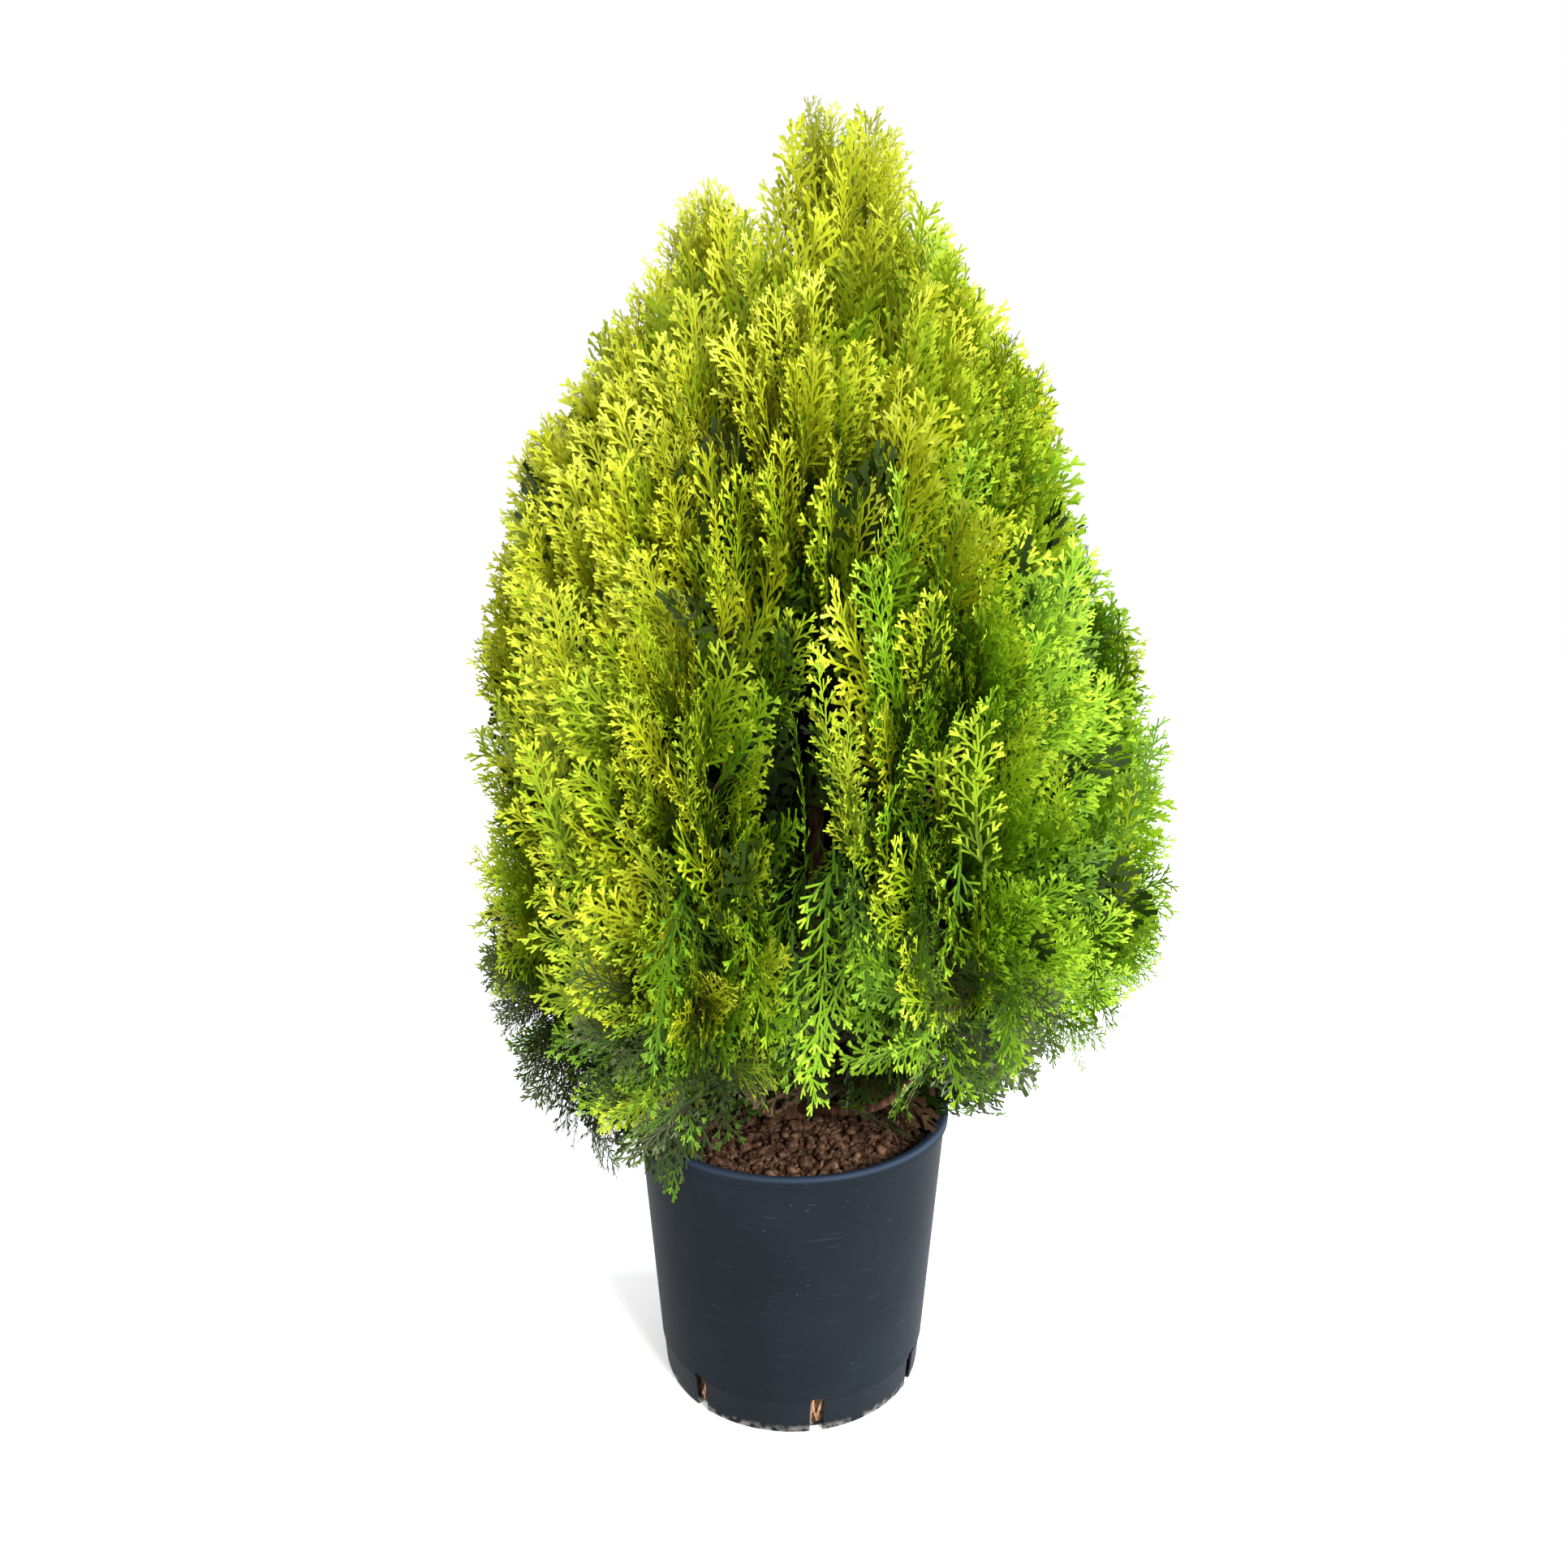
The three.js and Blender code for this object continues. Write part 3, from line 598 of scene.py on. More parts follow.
def build_fine_roots(rng, edge):
    """Pale root ends on the soil, and short ones behind the drain slots."""
    parts = []
    for _ in range(ROOTS["on_soil"]):
        radius = edge * rng.uniform(0.35, 0.93)
        turn = rng.uniform(0, 2 * math.pi)
        start = level(turn) * radius + UP * (soil_height(radius, edge) + 1)
        heading = rng.uniform(0, 2 * math.pi)
        path = [start]
        for _ in range(5):
            heading += rng.normal(0, 0.5)
            ahead = level(heading) * rng.uniform(4, 8)
            point = path[-1] + ahead
            if math.hypot(point[0], point[1]) > edge - 2:
                break
            point[2] = soil_height(math.hypot(point[0], point[1]), edge) + rng.uniform(0.5, 3.5)
            path.append(point)
        if len(path) > 2:
            parts.append(tube(smooth_path(path, 4), 0.45, 5))
    for angle in slot_angles():
        out = level(angle)
        along = np.array([-out[1], out[0], 0])
        for _ in range(ROOTS["at_slot"]):
            middle = out * (wall_radius(12) - POT["wall"] - 3.6) + along * rng.uniform(-4, 4)
            low = middle + along * rng.uniform(-4, 4) + UP * rng.uniform(4, 10)
            high = middle + along * rng.uniform(-4, 4) + UP * rng.uniform(18, 28)
            path = smooth_path([low, middle + UP * 14 + out * rng.uniform(0.4, 1.6), high], 5)
            parts.append(tube(path, rng.uniform(0.5, 1.2), 6))
    verts, faces = join_parts(parts)
    add_piece("fine_roots", verts, faces, root_material(), ["soil"])


# ---- Trunk and boughs ----


def bark_relief(rng, depth, strands):
    """Long fibrous ridges that wander round the stem as they climb."""
    phases = rng.uniform(0, 2 * math.pi, 4)

    def relief(turn, along):
        wander = 0.5 * np.sin(along * 0.021 + phases[0]) + 0.25 * np.sin(along * 0.063 + phases[1])
        coarse = np.abs(np.sin(turn * strands / 2 + wander * 2 + phases[2]))
        fine = np.sin(turn * strands * 1.5 - wander * 3 + along * 0.09 + phases[3])
        return 1 + depth * (coarse - 0.5) + depth * 0.35 * fine

    return relief


def trunk_path():
    foot = SOIL_LEVEL + 0.3
    last = len(TRUNK["path"]) - 1
    points = [(x, y, lerp(foot, TRUNK["top"], i / last)) for i, (x, y) in enumerate(TRUNK["path"])]
    return smooth_path(points, 24)


def trunk_point(z):
    path = trunk_path()
    return np.array([np.interp(z, path[:, 2], path[:, k]) for k in range(3)])


def trunk_radii(path):
    climb = path[:, 2] - path[0, 2]
    flare = np.maximum(0, 1 - climb / TRUNK["flare"]) ** 2
    taper = lerp(TRUNK["radius"], TRUNK["tip"], climb / climb[-1])
    return taper + (TRUNK["foot"] - TRUNK["radius"]) * flare


def bough_curve(from_height, tip):
    """A bough that leaves the trunk fairly flat and turns up towards its tip."""
    start = trunk_point(from_height)
    bend = lerp(start, tip, np.array([0.55, 0.55, 0.36]))
    return [start, bend, np.asarray(tip, float)]


def stem_from(limb, end):
    """A stem that carries on from the end of its limb and bends to end."""
    ahead = bezier_tangent(limb, 1)
    start = limb[2] + ahead * 0.3
    return [start, start + ahead * np.linalg.norm(end - start) * 0.35, end]


def limb_tube(rng, curve, radii, sides=14, steps=26):
    ts = np.linspace(0, 1, steps)
    path = np.array([bezier(curve, t) for t in ts])
    return tube(path, lerp(radii[0], radii[1], ts), sides, bark_relief(rng, 0.14, 7))


def build_wood(masses):
    rng = np.random.default_rng(21)
    bark = bark_material()
    path = trunk_path()
    verts, faces = tube(path, trunk_radii(path), 40, bark_relief(rng, 0.13, 13))
    verts[:, 2] = np.maximum(verts[:, 2], path[0, 2])
    add_piece("trunk_bark", verts, faces, bark, ["trunk"])
    boughs = [m for m in masses if m["bough"]]
    parts = [limb_tube(rng, m["bough"], m["bough_radius"]) for m in boughs]
    parts += [limb_tube(rng, m["stem"], (m["stem_radius"], 1.2)) for m in masses]
    verts, faces = join_parts(parts)
    add_piece("bough_bark", verts, faces, bark, ["bough_" + m["name"] for m in boughs])


# ---- Masses ----


def ring_masses():
    made = []
    for tier in TIERS:
        half = math.pi / tier["count"]
        for i in range(tier["count"]):
            azimuth = -math.pi / 2 + (2 * i + (0 if tier["turned"] else 1)) * half
            tip_radius = tier["inner"] + 6
            tip = on_cone(tip_radius, azimuth, tier["stem_cone"][0])
            climb = ((i * 3) % tier["count"]) / (tier["count"] - 1)
            bough = bough_curve(lerp(*tier["bough_from"], climb), tip)
            end_cone = tier["stem_cone"][1] + tier["stem_lift"] * lift_at(azimuth)
            end_radius = tier["stem_reach"] * crown_radius(outline_height(end_cone, azimuth), azimuth)
            stem = stem_from(bough, on_cone(end_radius, azimuth, end_cone))
            made.append(
                {
                    "name": f"{tier['name']}_{i + 1}",
                    "bough": bough,
                    "bough_radius": tier["bough_radius"],
                    "stem": stem,
                    "stem_radius": tier["bough_radius"][1],
                    "targets": ring_targets(tier, azimuth, half),
                }
            )
    return made


def ring_targets(tier, azimuth, half):
    """Places on the outline that a mass's twigs grow to, row by row up its band."""
    targets = []
    low, high = tier["cone"]
    rows = round((high - low) / TARGETS["row_step"])
    for row in range(rows):
        cone = lerp(low, high, (row + 0.5) / rows)
        z = outline_height(cone, azimuth)
        columns = max(2, round(2 * half * crown_radius(z, azimuth) / TARGETS["column_step"]))
        for column in range(columns):
            turn = azimuth + half * ((2 * column + 0.5 + (row % 2)) / columns - 1)
            targets.append((turn, cone))
    return targets


def leader_mass(name, leader, limb, bough, bough_radius):
    return {
        "name": name,
        "bough": bough,
        "bough_radius": bough_radius,
        "stem": stem_from(limb, leader_axis(leader, leader["top"] - 60)),
        "stem_radius": 3,
        "leader": leader,
    }


def all_masses():
    path = trunk_path()
    trunk_end = [path[-9], path[-5], path[-1]]
    left = bough_curve(LEFT_BOUGH_FROM, LEFT_START)
    masses = ring_masses()
    masses.append(leader_mass("leader_right", LEADERS["right"], trunk_end, None, None))
    masses.append(leader_mass("leader_left", LEADERS["left"], left, left, (4, 3)))
    return masses


TARGETS = {"row_step": 26, "column_step": 41, "leader_step": 22}
TWIG = {"radius": 1.5, "tip": 0.5, "sides": 4}
SPRAY = {"length": 90, "step": 23, "smallest": 36, "twist": 20}
STREAMER = {"count": 190, "length": 112, "low": 400, "high": 660, "spread": 62}
STRAND = {"count": 170, "low": 318, "high": 470, "spread": 44, "over_soil": 0.35, "lowest": 222}
FRINGE = {"count": 46, "from": 262, "length": 64}
TUFT = 62  # the length of the sprays that crown a leader
SHADED = 0.11  # the depth from which a spray has fewer, broader branchlets
HEART = {
    "count": 3500, "low": 212, "high": 840, "inner": 0.06, "outer": 0.72, "length": 74,
    "spread": 0.3, "low_spread": 0.8, "small_up_to": 330, "tidy_from": 350, "small_from": 690,
}


# ---- Sprays ----

INNER, MIDDLE, TIP = 0, 1, 2


def strip(start, direction, length, base_width, tip_width, lift):
    """A flat four-cornered branchlet in the spray's plane, raised by lift at its tip."""
    across = np.array([-direction[1], direction[0]])
    end = start + direction * length
    corners = [start - across * base_width / 2, start + across * base_width / 2]
    corners += [end + across * tip_width / 2, end - across * tip_width / 2]
    heights = [0, 0, lift, lift]
    return [(c[0], c[1], h) for c, h in zip(corners, heights)]


def turned(direction, angle):
    c, s = math.cos(angle), math.sin(angle)
    return np.array([direction[0] * c - direction[1] * s, direction[0] * s + direction[1] * c])


class SprayTemplate:
    """One flat fern-like spray along +Y: quads in its plane and the tone of each.

    Laterals leave the axis in turn on either side at a narrow angle, and carry short blunt
    branchlets in turn. Tones run from the shaded base to the bright tips. The axis bends
    slowly towards +X, which is the upper side of a spray in the crown.
    """

    def __init__(self, rng, length, slender, style):
        self.rng = rng
        self.length = length
        self.style = style
        self.quads = []
        self.tones = []
        self.grow(slender)
        self.verts = np.array(self.quads)
        self.tones = np.array(self.tones)
        cup, curl = rng.normal(0, 0.0018), rng.normal(0, 0.0012)
        self.verts[:, :, 2] += cup * self.verts[:, :, 0] ** 2 + curl * self.verts[:, :, 1] ** 2

    def put(self, tone, *strip_args):
        self.quads.append(strip(*strip_args))
        self.tones.append(tone)

    def grow(self, slender):
        rng, style = self.rng, self.style
        laterals = round(self.length / style["spacing"])
        step = self.length * 0.9 / laterals
        at, heading, side = np.array([0.0, 0.0]), np.array([0.0, 1.0]), 1
        for k in range(laterals):
            t = k / laterals
            heading = turned(heading, rng.normal(-0.01, style["wander"]))
            if k % 3 == 0:
                width = lerp(1.7, 1.1, t)
                self.put(INNER if t < 0.5 else MIDDLE, at, heading, step * 3.1, width, width, 0)
            at = at + heading * step
            side = -side
            shape = (1 - t) ** 0.75 * min(1, 0.55 + t * 1.8)
            reach = self.length * slender * shape * rng.uniform(*style["uneven"]) + 6
            if k:
                self.lateral(at, heading, side, reach, t)
        self.fork_end(at, heading, 3)

    def lateral(self, root, heading, side, reach, t):
        rng, style = self.rng, self.style
        direction = turned(heading, side * math.radians(rng.uniform(34, 45)))
        roll = rng.normal(0, 0.1)
        width = style["width"]
        self.put(self.tone(0.25 + 0.5 * t), root, direction, reach, width * 1.1, width, roll * reach)
        count = round(reach / style["leaf_step"])
        turn = side
        for j in range(count):
            u = (j + 0.6) / count
            turn = -turn
            size = lerp(*style["leaf"], u) * rng.uniform(0.7, 1.25) * (1 - 0.2 * t)
            ahead = turned(direction, turn * rng.uniform(0.5, 0.66))
            lift = roll * reach * u
            root_at = root + direction * reach * u
            corners = strip(root_at, ahead, size, width, width * 1.15, rng.normal(0, 0.8))
            self.quads.append([(x, y, z + lift) for x, y, z in corners])
            self.tones.append(self.tone(0.2 + 0.55 * u + 0.35 * t))
        if style["forked"]:
            self.fork_end(root + direction * reach * 0.96, direction, 2, roll * reach)

    def fork_end(self, at, direction, ends, lift=0.0):
        rng = self.rng
        for i in range(ends):
            angle = (i - (ends - 1) / 2) * rng.uniform(0.5, 0.8)
            ahead = turned(direction, angle)
            corners = strip(at, ahead, rng.uniform(3.5, 6.5), 1.1, 1.4, rng.normal(0, 0.6))
            self.quads.append([(x, y, z + lift) for x, y, z in corners])
            self.tones.append(TIP)

    def tone(self, share):
        share += self.rng.normal(0, 0.07)
        return INNER if share < 0.36 else MIDDLE if share < 0.9 else TIP


def spray_style(spacing, leaf_step, leaf, width, uneven=(0.7, 1.15), wander=0.03, forked=False):
    """The distances between branchlets, their sizes and how regular they are."""
    return {
        "spacing": spacing,
        "leaf_step": leaf_step,
        "leaf": leaf,
        "width": width,
        "uneven": uneven,
        "wander": wander,
        "forked": forked,
    }


FINE = spray_style(4.9, 4.3, (9.5, 5), 1.2, wander=0.02, forked=True)
WISPY = spray_style(6.4, 4.4, (9, 5), 1.15, uneven=(0.3, 1.6), wander=0.09, forked=True)
PLAIN = spray_style(5.6, 7.5, (10, 6), 1.9)
BROAD = spray_style(7.5, 15, (14, 9), 3.2)


def spray_templates(seed, style, lengths, slenders):
    rng = np.random.default_rng(seed)
    shapes = [(length, slender) for length in lengths for slender in slenders]
    return [SprayTemplate(rng, length, slender, style) for length, slender in shapes]


# ---- Colours, dealt out by spray ----

# deep and shade are dark greens put where the crown lies in shade, as painted shade.
PALETTES = {
    "sunny": [(140, 147, 16), (158, 165, 28), (178, 185, 58)],
    "gold": [(110, 118, 10), (148, 156, 19), (182, 190, 47)],
    "lime": [(80, 102, 8), (124, 147, 16), (166, 184, 41)],
    "fresh": [(66, 102, 6), (100, 138, 12), (142, 176, 36)],
    "green": [(42, 70, 6), (66, 100, 10), (98, 134, 26)],
    "deep": [(20, 32, 5), (34, 50, 8), (54, 76, 14)],
    "shade": [(10, 15, 5), (18, 25, 7), (30, 40, 12)],
    "grey": [(38, 42, 24), (60, 68, 38), (90, 101, 61)],
    "brown": [(44, 30, 20), (66, 48, 32), (88, 70, 48)],
}
TONES = ["inner", "middle", "tip"]


def choose_palette(rng, point, depth):
    """Golden on one side and at the top, fresh green on the other, painted shade inside, duller low down.
    """
    azimuth = crown_place(point)[1]
    height = (point[2] - CROWN["low"]) / (CROWN["top"] - CROWN["low"])
    golden = 0.5 + 0.5 * math.cos(azimuth - math.radians(200))
    low = 1 - smoothstep(height, 0.08, 0.36)
    # Painted shade: the deeper a spray sits in the crown, the darker its palette.
    if depth > 0.4 and height < 0.6:
        return "deep"
    if rng.uniform() < low * (0.3 + 0.75 * golden):
        return ("grey", "grey", "green", "deep", "deep")[rng.integers(5)]
    if depth > 0.24 and height < 0.7 and rng.uniform() < 0.3:
        return "deep" if rng.uniform() < 0.35 else "green"
    score = 0.62 * golden + 0.6 * smoothstep(height, 0.45, 0.95) + rng.normal(0, 0.15) - 0.7 * depth
    score -= 0.3 * low
    if score > 0.86:
        return "sunny"
    if score > 0.58:
        return "gold"
    if score > 0.34:
        return "lime"
    return "fresh" if rng.uniform() < 0.8 else "green"


# ---- Growing the crown ----

# How far sprays may stand past the box of the solids.
REACH = 19
REACH_BOX = np.array([[v / MM for v in corner] for corner in CAD_BOX]) + np.array([[-REACH], [REACH]])

SPRAY_RISE = [(175, -58), (250, -34), (330, -4), (420, 26), (500, 42), (650, 62), (915, 86)]


def spray_rise(z):
    """The steepness of sprays at a height, in radians: hanging at the skirt, upright on top."""
    heights, degrees = zip(*SPRAY_RISE)
    return math.radians(np.interp(z, heights, degrees))


def heading_of(turn, rise):
    """The direction at a turn about Z and a rise above level."""
    return level(turn) * math.cos(rise) + UP * math.sin(rise)


def plume(azimuth, z):
    """How far the outline sinks between its plumes, as a share of the radius."""
    across = math.sin(9 * azimuth + z / 47) * math.sin(5 * azimuth - z / 83 + 1.3)
    return 0.06 * max(0.0, across + 0.2 * math.sin(z / 19 + 3 * azimuth))


def root_on_stem(stem, target):
    """The point of the stem from which a twig to target rises most nearly as sprays do there."""
    wanted = spray_rise(target[2]) - 0.35
    best = None
    for t in np.linspace(0.1, 0.98, 12):
        point = bezier(stem, t)
        ahead = target - point
        rise = math.atan2(ahead[2], math.hypot(ahead[0], ahead[1]))
        score = abs(rise - wanted) + np.linalg.norm(ahead) / 400
        if best is None or score < best[0]:
            best = (score, point)
    return best[1]


def spray_axes(direction, twist):
    """Columns that turn a template's X, Y and Z to lateral, along and flat side."""
    outward = np.array([direction[0], direction[1], 0.0])
    if np.linalg.norm(outward) < 0.05:
        outward = np.array([1.0, 0.0, 0.0])
    normal = unit(np.cross(UP, outward))
    c, s = math.cos(twist), math.sin(twist)
    normal = normal * c + np.cross(direction, normal) * s
    lateral = unit(np.cross(direction, normal))
    return np.stack([lateral, direction, np.cross(lateral, direction)])


def heart_palette(rng, z, share):
    """Dead and greyish low down, near black round the trunk as painted shade, green towards the outside.
    """
    if z < 290:
        dull = ("brown", "deep", "grey") if share < 0.45 else ("grey", "green", "deep")
        return dull[rng.integers(3)]
    if z > 640:
        return "lime" if z < 740 else "gold"
    # Painted shade: near-black and dark green sprays stand for the shadow round the trunk.
    return "shade" if share < 0.4 else "deep"


class Crown:
    """Collects sprays by colour, and twigs."""

    def __init__(self):
        self.rng = np.random.default_rng(41)
        length = SPRAY["length"]
        fine_lengths = (length * 0.8, length, length * 1.1)
        wispy_widths = (0.07, 0.1, 0.12, 0.14, 0.17, 0.2)
        self.fine = spray_templates(31, FINE, fine_lengths, (0.24, 0.32, 0.4, 0.46))
        self.plain = spray_templates(33, PLAIN, (length * 0.85, length), (0.28, 0.36, 0.44))
        self.slender = spray_templates(34, WISPY, (STREAMER["length"],), wispy_widths)
        self.broad = spray_templates(32, BROAD, (HEART["length"],), (0.35, 0.4, 0.45, 0.5))
        self.quads = {(palette, tone): [] for palette in PALETTES for tone in range(len(TONES))}
        self.twigs = []

    def fits(self, points, slack, over_soil=False, in_split=False):
        """Whether points keep to the crown, and clear of pot, parting and bare soil."""
        for p in points:
            if math.hypot(p[0], p[1]) < POT["rim"] + 3 and p[2] < POT["height"] + 2:
                return False
            if overhang(p) > slack:
                return False
            if split_room(p) < -4 and not in_split:
                return False
            if hides_soil(p) and not over_soil:
                return False
        return True

    def place(self, template, scale, root, axes, palette):
        """Joins a spray to its colours, unless it would reach too far past the solids' box."""
        placed = (template.verts.reshape(-1, 3) * scale) @ axes + root
        if (placed < REACH_BOX[0]).any() or (placed > REACH_BOX[1]).any():
            return
        placed = placed.reshape(-1, 4, 3)
        for tone in range(len(TONES)):
            self.quads[(palette, tone)].append(placed[template.tones == tone])

    def add_spray(self, root, direction, reach, slack):
        """Adds a spray of that reach, or a shorter one where it would stand out of the crown."""
        rng = self.rng
        direction = unit(direction)
        axes = spray_axes(direction, math.radians(rng.normal(0, SPRAY["twist"])))
        while reach > SPRAY["smallest"]:
            tip = root + direction * reach
            wing = axes[0] * reach * 0.3
            middle = root + direction * reach * 0.55
            if self.fits((tip, middle + wing, middle - wing), slack):
                break
            reach *= 0.86
        else:
            return False
        place = crown_place(tip)
        depth = min(1 - place[0] / max(30, crown_radius(tip[2], place[1])), -overhang(tip) / 110)
        kinds = self.fine if depth < SHADED else self.plain
        template = kinds[rng.integers(len(kinds))]
        self.place(template, reach / template.length, root, axes, choose_palette(rng, tip, depth))
        return True

    def add_twig(self, root, target, slack):
        """A twig that curves up to its target, with sprays along it in turn and one at its end."""
        rng = self.rng
        rise = spray_rise(target[2])
        outward = unit(np.array([target[0] - root[0], target[1] - root[1], 0.0]) + 1e-6)
        end_heading = unit(outward * math.cos(rise) + UP * math.sin(rise) + rng.normal(0, 0.08, 3))
        reach = min(SPRAY["length"] * rng.uniform(0.8, 1.15), np.linalg.norm(target - root) * 0.75)
        end = target - end_heading * reach
        bend = end - end_heading * np.linalg.norm(end - root) * 0.45
        curve = [root, bend, end]
        if not self.add_spray(end, end_heading, reach, slack):
            return
        ts = np.linspace(0, 1, 7)
        path = np.array([bezier(curve, t) for t in ts])
        self.twigs.append(tube(path, lerp(TWIG["radius"], TWIG["tip"], ts), TWIG["sides"]))
        count = max(2, round(np.linalg.norm(end - root) / SPRAY["step"]))
        side = 1 if rng.uniform() < 0.5 else -1
        for k in range(count):
            t = lerp(0.25, 0.97, (k + rng.uniform(0.2, 0.8)) / count)
            heading = bezier_tangent(curve, t)
            side = -side
            yaw = side * math.radians(rng.uniform(14, 40))
            c, s = math.cos(yaw), math.sin(yaw)
            flat = np.array([heading[0] * c - heading[1] * s, heading[0] * s + heading[1] * c, 0.0])
            flat = unit(flat + outward * 0.25)
            lift = rise + rng.normal(-0.1, 0.16)
            direction = flat * math.cos(lift) + UP * math.sin(lift)
            self.add_spray(bezier(curve, t), direction, SPRAY["length"] * rng.uniform(0.62, 1.0), slack)

    def add_heart(self):
        """Shaded sprays round the trunk that close the crown behind its outer ones."""
        rng = self.rng
        for _ in range(HEART["count"]):
            z = lerp(HEART["low"], HEART["high"], rng.uniform() ** 1.8)
            azimuth = rng.uniform(-math.pi, math.pi)
            share = lerp(HEART["inner"], HEART["outer"], rng.uniform() ** 0.6)
            root = crown_point(crown_radius(z, azimuth) * share, azimuth, z)
            spread = HEART["spread"] if z > HEART["tidy_from"] else HEART["low_spread"]
            rise = spray_rise(z) + rng.normal(0.1, spread) + 0.9 * max(0.0, 0.4 - share)
            turn = azimuth + rng.normal(0, 0.7)
            direction = heading_of(turn, rise)
            axes = spray_axes(direction, rng.normal(0, 0.7))
            small = z > HEART["small_from"] or (z < HEART["small_up_to"] and share > 0.3)
            kinds = self.plain if small else self.broad
            template = kinds[rng.integers(len(kinds))]
            if self.fits((root, root + direction * template.length), -12):
                self.place(template, 1, root, axes, heart_palette(rng, z, share))

    def front_turn(self, spread):
        """An azimuth near the front, most often close to the parting."""
        aside = self.rng.uniform(-1, 1)
        return math.radians(-88 + aside * abs(aside) ** 0.4 * spread)

    def slender_spray(self, turn, z, shares, sway, rises, scales):
        """A long narrow spray near the outline: its template, scale, root, direction and tip."""
        rng = self.rng
        root = crown_point(crown_radius(z, turn) * rng.uniform(*shares), turn, z)
        direction = heading_of(turn + rng.normal(0, sway), math.radians(rng.uniform(*rises)))
        template = self.slender[rng.integers(len(self.slender))]
        scale = rng.uniform(*scales)
        return template, scale, root, direction, root + direction * template.length * scale

    def add_streamers(self):
        """Long narrow bright sprays that stand upright over the front."""
        rng = self.rng
        for k in range(STREAMER["count"]):
            z = lerp(STREAMER["low"], STREAMER["high"], k / STREAMER["count"]) + rng.normal(0, 12)
            turn = self.front_turn(STREAMER["spread"])
            spray = self.slender_spray(turn, z, (0.84, 0.93), 0.5, (66, 88), (0.6, 1.05))
            template, scale, root, direction, tip = spray
            inside = min(split_room(root), split_room(tip)) < 4
            if self.fits((root, tip), -2, in_split=rng.uniform() < 0.6):
                green = inside or turn > math.radians(-80)
                palettes = ("green", "fresh", "lime") if green else ("gold", "lime", "lime")
                axes = spray_axes(direction, rng.normal(0, 0.4))
                self.place(template, scale, root, axes, palettes[rng.integers(3)])

    def add_strands(self):
        """Long narrow sprays that hang over the front and into the foot of the parting."""
        rng = self.rng
        for _ in range(STRAND["count"]):
            z = rng.uniform(STRAND["low"], STRAND["high"])
            turn = self.front_turn(STRAND["spread"])
            spray = self.slender_spray(turn, z, (0.62, 0.92), 0.5, (-88, -68), (0.75, 1.2))
            template, scale, root, direction, tip = spray
            over_soil = rng.uniform() < STRAND["over_soil"]
            if tip[2] > STRAND["lowest"] and self.fits((root, tip), -1, over_soil, True):
                palette = ("fresh", "green", "green", "deep")[rng.integers(4)]
                self.place(template, scale, root, spray_axes(direction, rng.normal(0, 0.6)), palette)

    def add_fringe(self):
        """Short thin sprays that hang from the underside of the skirt."""
        rng = self.rng
        short = FRINGE["length"] / STREAMER["length"]
        for k in range(FRINGE["count"]):
            turn = 2 * math.pi * k / FRINGE["count"] + rng.normal(0, 0.08)
            z = FRINGE["from"] + rng.uniform(-12, 24) + 26 * max(0.0, math.cos(turn + 0.7))
            spray = self.slender_spray(turn, z, (0.8, 0.97), 0.3, (-80, -48), (0.7 * short, 1.2 * short))
            template, scale, root, direction, tip = spray
            if self.fits((root, tip), 14):
                palette = ("grey", "green", "fresh")[rng.integers(3)]
                self.place(template, scale, root, spray_axes(direction, rng.normal(0, 0.4)), palette)


def grow_ring_mass(crown, mass):
    rng = crown.rng
    for turn, cone in mass["targets"]:
        turn += rng.normal(0, 0.04)
        z = outline_height(cone + rng.normal(0, 7), turn)
        share = min(1.02, rng.normal(0.965, 0.04)) - plume(turn, z)
        target = crown_point(crown_radius(z, turn) * share, turn, z)
        crown.add_twig(root_on_stem(mass["stem"], target), target, 1)


def grow_leader_mass(crown, mass):
    """Rows round the crown up to the shoulders, then round the leader's own tip."""
    rng = crown.rng
    leader = mass["leader"]
    z = leader["from"] - 20
    row = 0
    while z < leader["top"] - 8:
        on_shoulder = z < LEADERS["shoulder"] and crown_radius(z, 0) > leader["radius"] + 22
        radius = crown_radius(z, 0) if on_shoulder else leader_radius(leader, z)
        columns = max(4, round(2 * math.pi * radius / TARGETS["column_step"]))
        for column in range(columns):
            angle = (column + 0.5 * (row % 2)) / columns * 2 * math.pi + rng.normal(0, 0.1)
            height = z + rng.normal(0, 5)
            out = level(angle) * radius * rng.uniform(0.86, 1.0)
            centre = crown_point(0, 0, height) if on_shoulder else leader_axis(leader, height)
            target = centre + out
            if leader["side"] * (target[0] - LEADERS["split_x"]) > 2:
                crown.add_twig(root_on_stem(mass["stem"], target), target, 2)
        z += TARGETS["leader_step"]
        row += 1
    for aside, below in leader["tufts"]:
        top = np.array([leader["x"] + aside, leader["y"] + rng.normal(0, 6), leader["top"] - below])
        heading = unit(np.array([aside * 0.003, rng.normal(0, 0.04), 1.0]))
        crown.add_spray(top - heading * TUFT, heading, TUFT, 3)


def build_foliage(masses):
    crown = Crown()
    crown.add_heart()
    crown.add_streamers()
    crown.add_strands()
    crown.add_fringe()
    for mass in masses:
        if "leader" in mass:
            grow_leader_mass(crown, mass)
        else:
            grow_ring_mass(crown, mass)
    nodes = ["foliage_" + m["name"] for m in masses]
    for (palette, tone), groups in crown.quads.items():
        verts = np.concatenate(groups).reshape(-1, 3)
        faces = np.arange(len(verts)).reshape(-1, 4)
        name = f"sprays_{palette}_{TONES[tone]}"
        material = foliage_material(name, PALETTES[palette][tone])
        add_piece(name, verts, faces, material, nodes, smooth=False)
    verts, faces = join_parts(crown.twigs)
    add_piece("twigs", verts, faces, bpy.data.materials["thuja_bark"], nodes)


# ---- Stage, in metres ----

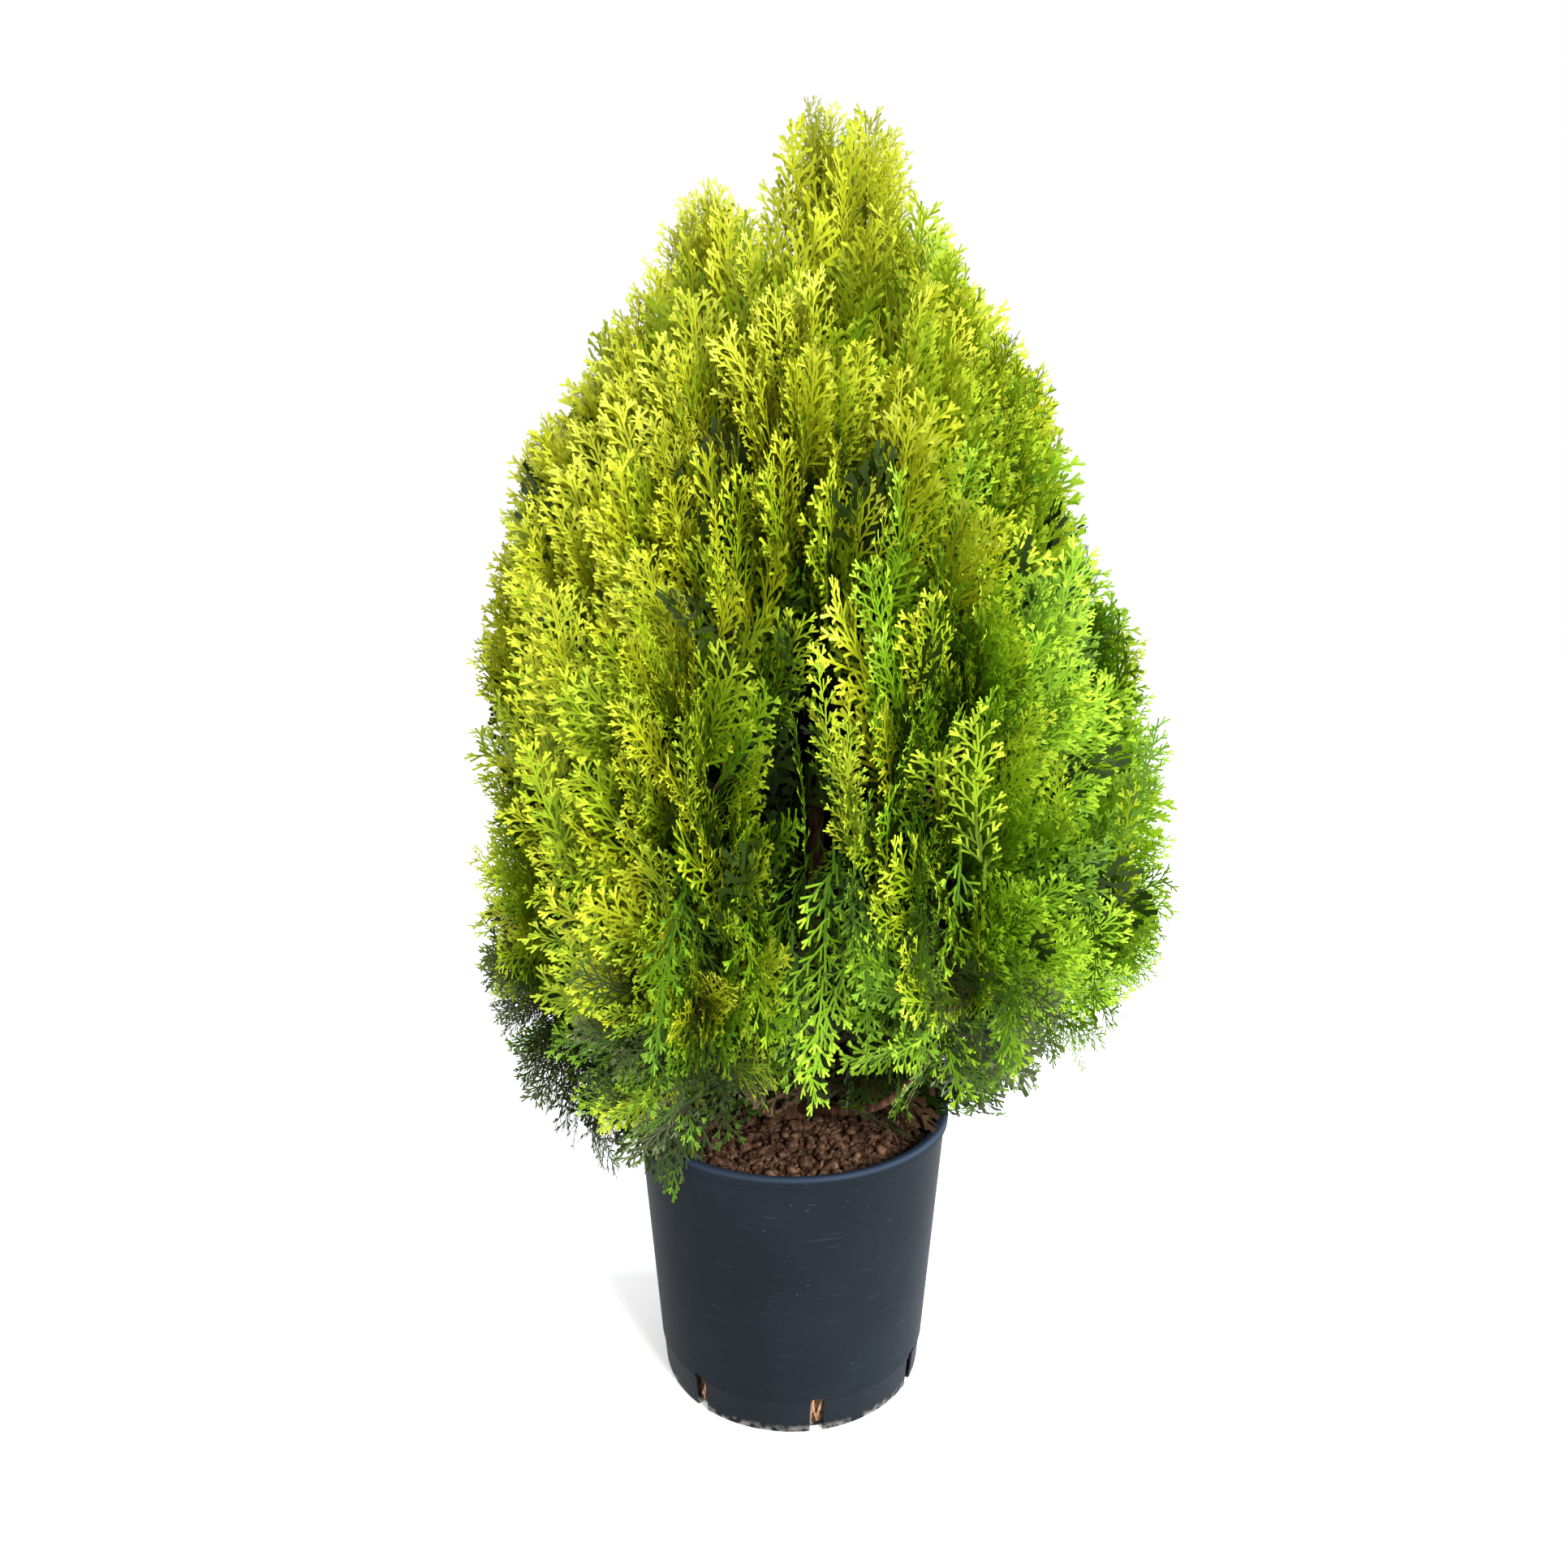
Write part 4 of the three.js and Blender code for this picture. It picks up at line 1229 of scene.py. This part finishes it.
FLOOR = {"radius": 9, "sides": 64, "below": 0.0005}
CAMERA = {"place": (-0.0061, -0.8186, 0.6118), "down": 10.69, "lens": 26.09, "sensor": 36}
LIGHTS = {
    "key": {"place": (1.3, -2.2, 1.6), "aim": (0, 0, 0.4), "size": 0.9, "watts": 116},
    "rim": {"place": (2.4, 0.2, 0.9), "aim": (0, 0, 0.2), "size": 0.7, "watts": 70},
}
LIGHT_COLOURS = {"key": (1, 0.98, 0.94), "rim": (0.74, 0.87, 1)}


def build_floor():
    turns = np.linspace(0, 2 * math.pi, FLOOR["sides"], endpoint=False)
    verts = [level(t) * FLOOR["radius"] - UP * FLOOR["below"] for t in turns]
    mesh = bpy.data.meshes.new("pale_floor")
    mesh.from_pydata(verts, [], [list(range(FLOOR["sides"]))])
    mesh.materials.append(floor_material())
    floor = bpy.data.objects.new("pale_floor", mesh)
    bpy.context.scene.collection.objects.link(floor)


def add_light(name, light):
    data = bpy.data.lights.new(name, "AREA")
    data.shape = "DISK"
    data.size = light["size"]
    data.energy = light["watts"]
    data.color = LIGHT_COLOURS[name]
    lamp = bpy.data.objects.new(name, data)
    lamp.location = light["place"]
    beam = Vector(light["aim"]) - Vector(light["place"])
    lamp.rotation_euler = beam.to_track_quat("-Z", "Y").to_euler()
    bpy.context.scene.collection.objects.link(lamp)


def build_camera():
    """A view from a little above the plant's middle, looking down at the soil."""
    data = bpy.data.cameras.new("camera")
    data.sensor_width = CAMERA["sensor"]
    data.lens = CAMERA["lens"]
    data.clip_start = 0.02
    camera = bpy.data.objects.new("camera", data)
    camera.location = CAMERA["place"]
    camera.rotation_euler = (math.radians(90 - CAMERA["down"]), 0, 0)
    bpy.context.scene.collection.objects.link(camera)
    bpy.context.scene.camera = camera


def build_light():
    """A white studio with a warm key light and a cooler one from the side."""
    world = bpy.data.worlds.new("studio")
    world.use_nodes = True
    background = world.node_tree.nodes["Background"]
    background.inputs["Color"].default_value = (1, 1, 1, 1)
    background.inputs["Strength"].default_value = 1.0
    bpy.context.scene.world = world
    for name, light in LIGHTS.items():
        add_light(name, light)
    bpy.context.scene.view_settings.view_transform = "Standard"


def main():
    build_camera()
    build_light()
    build_floor()
    build_pot()
    build_soil()
    masses = all_masses()
    build_wood(masses)
    build_foliage(masses)


main()
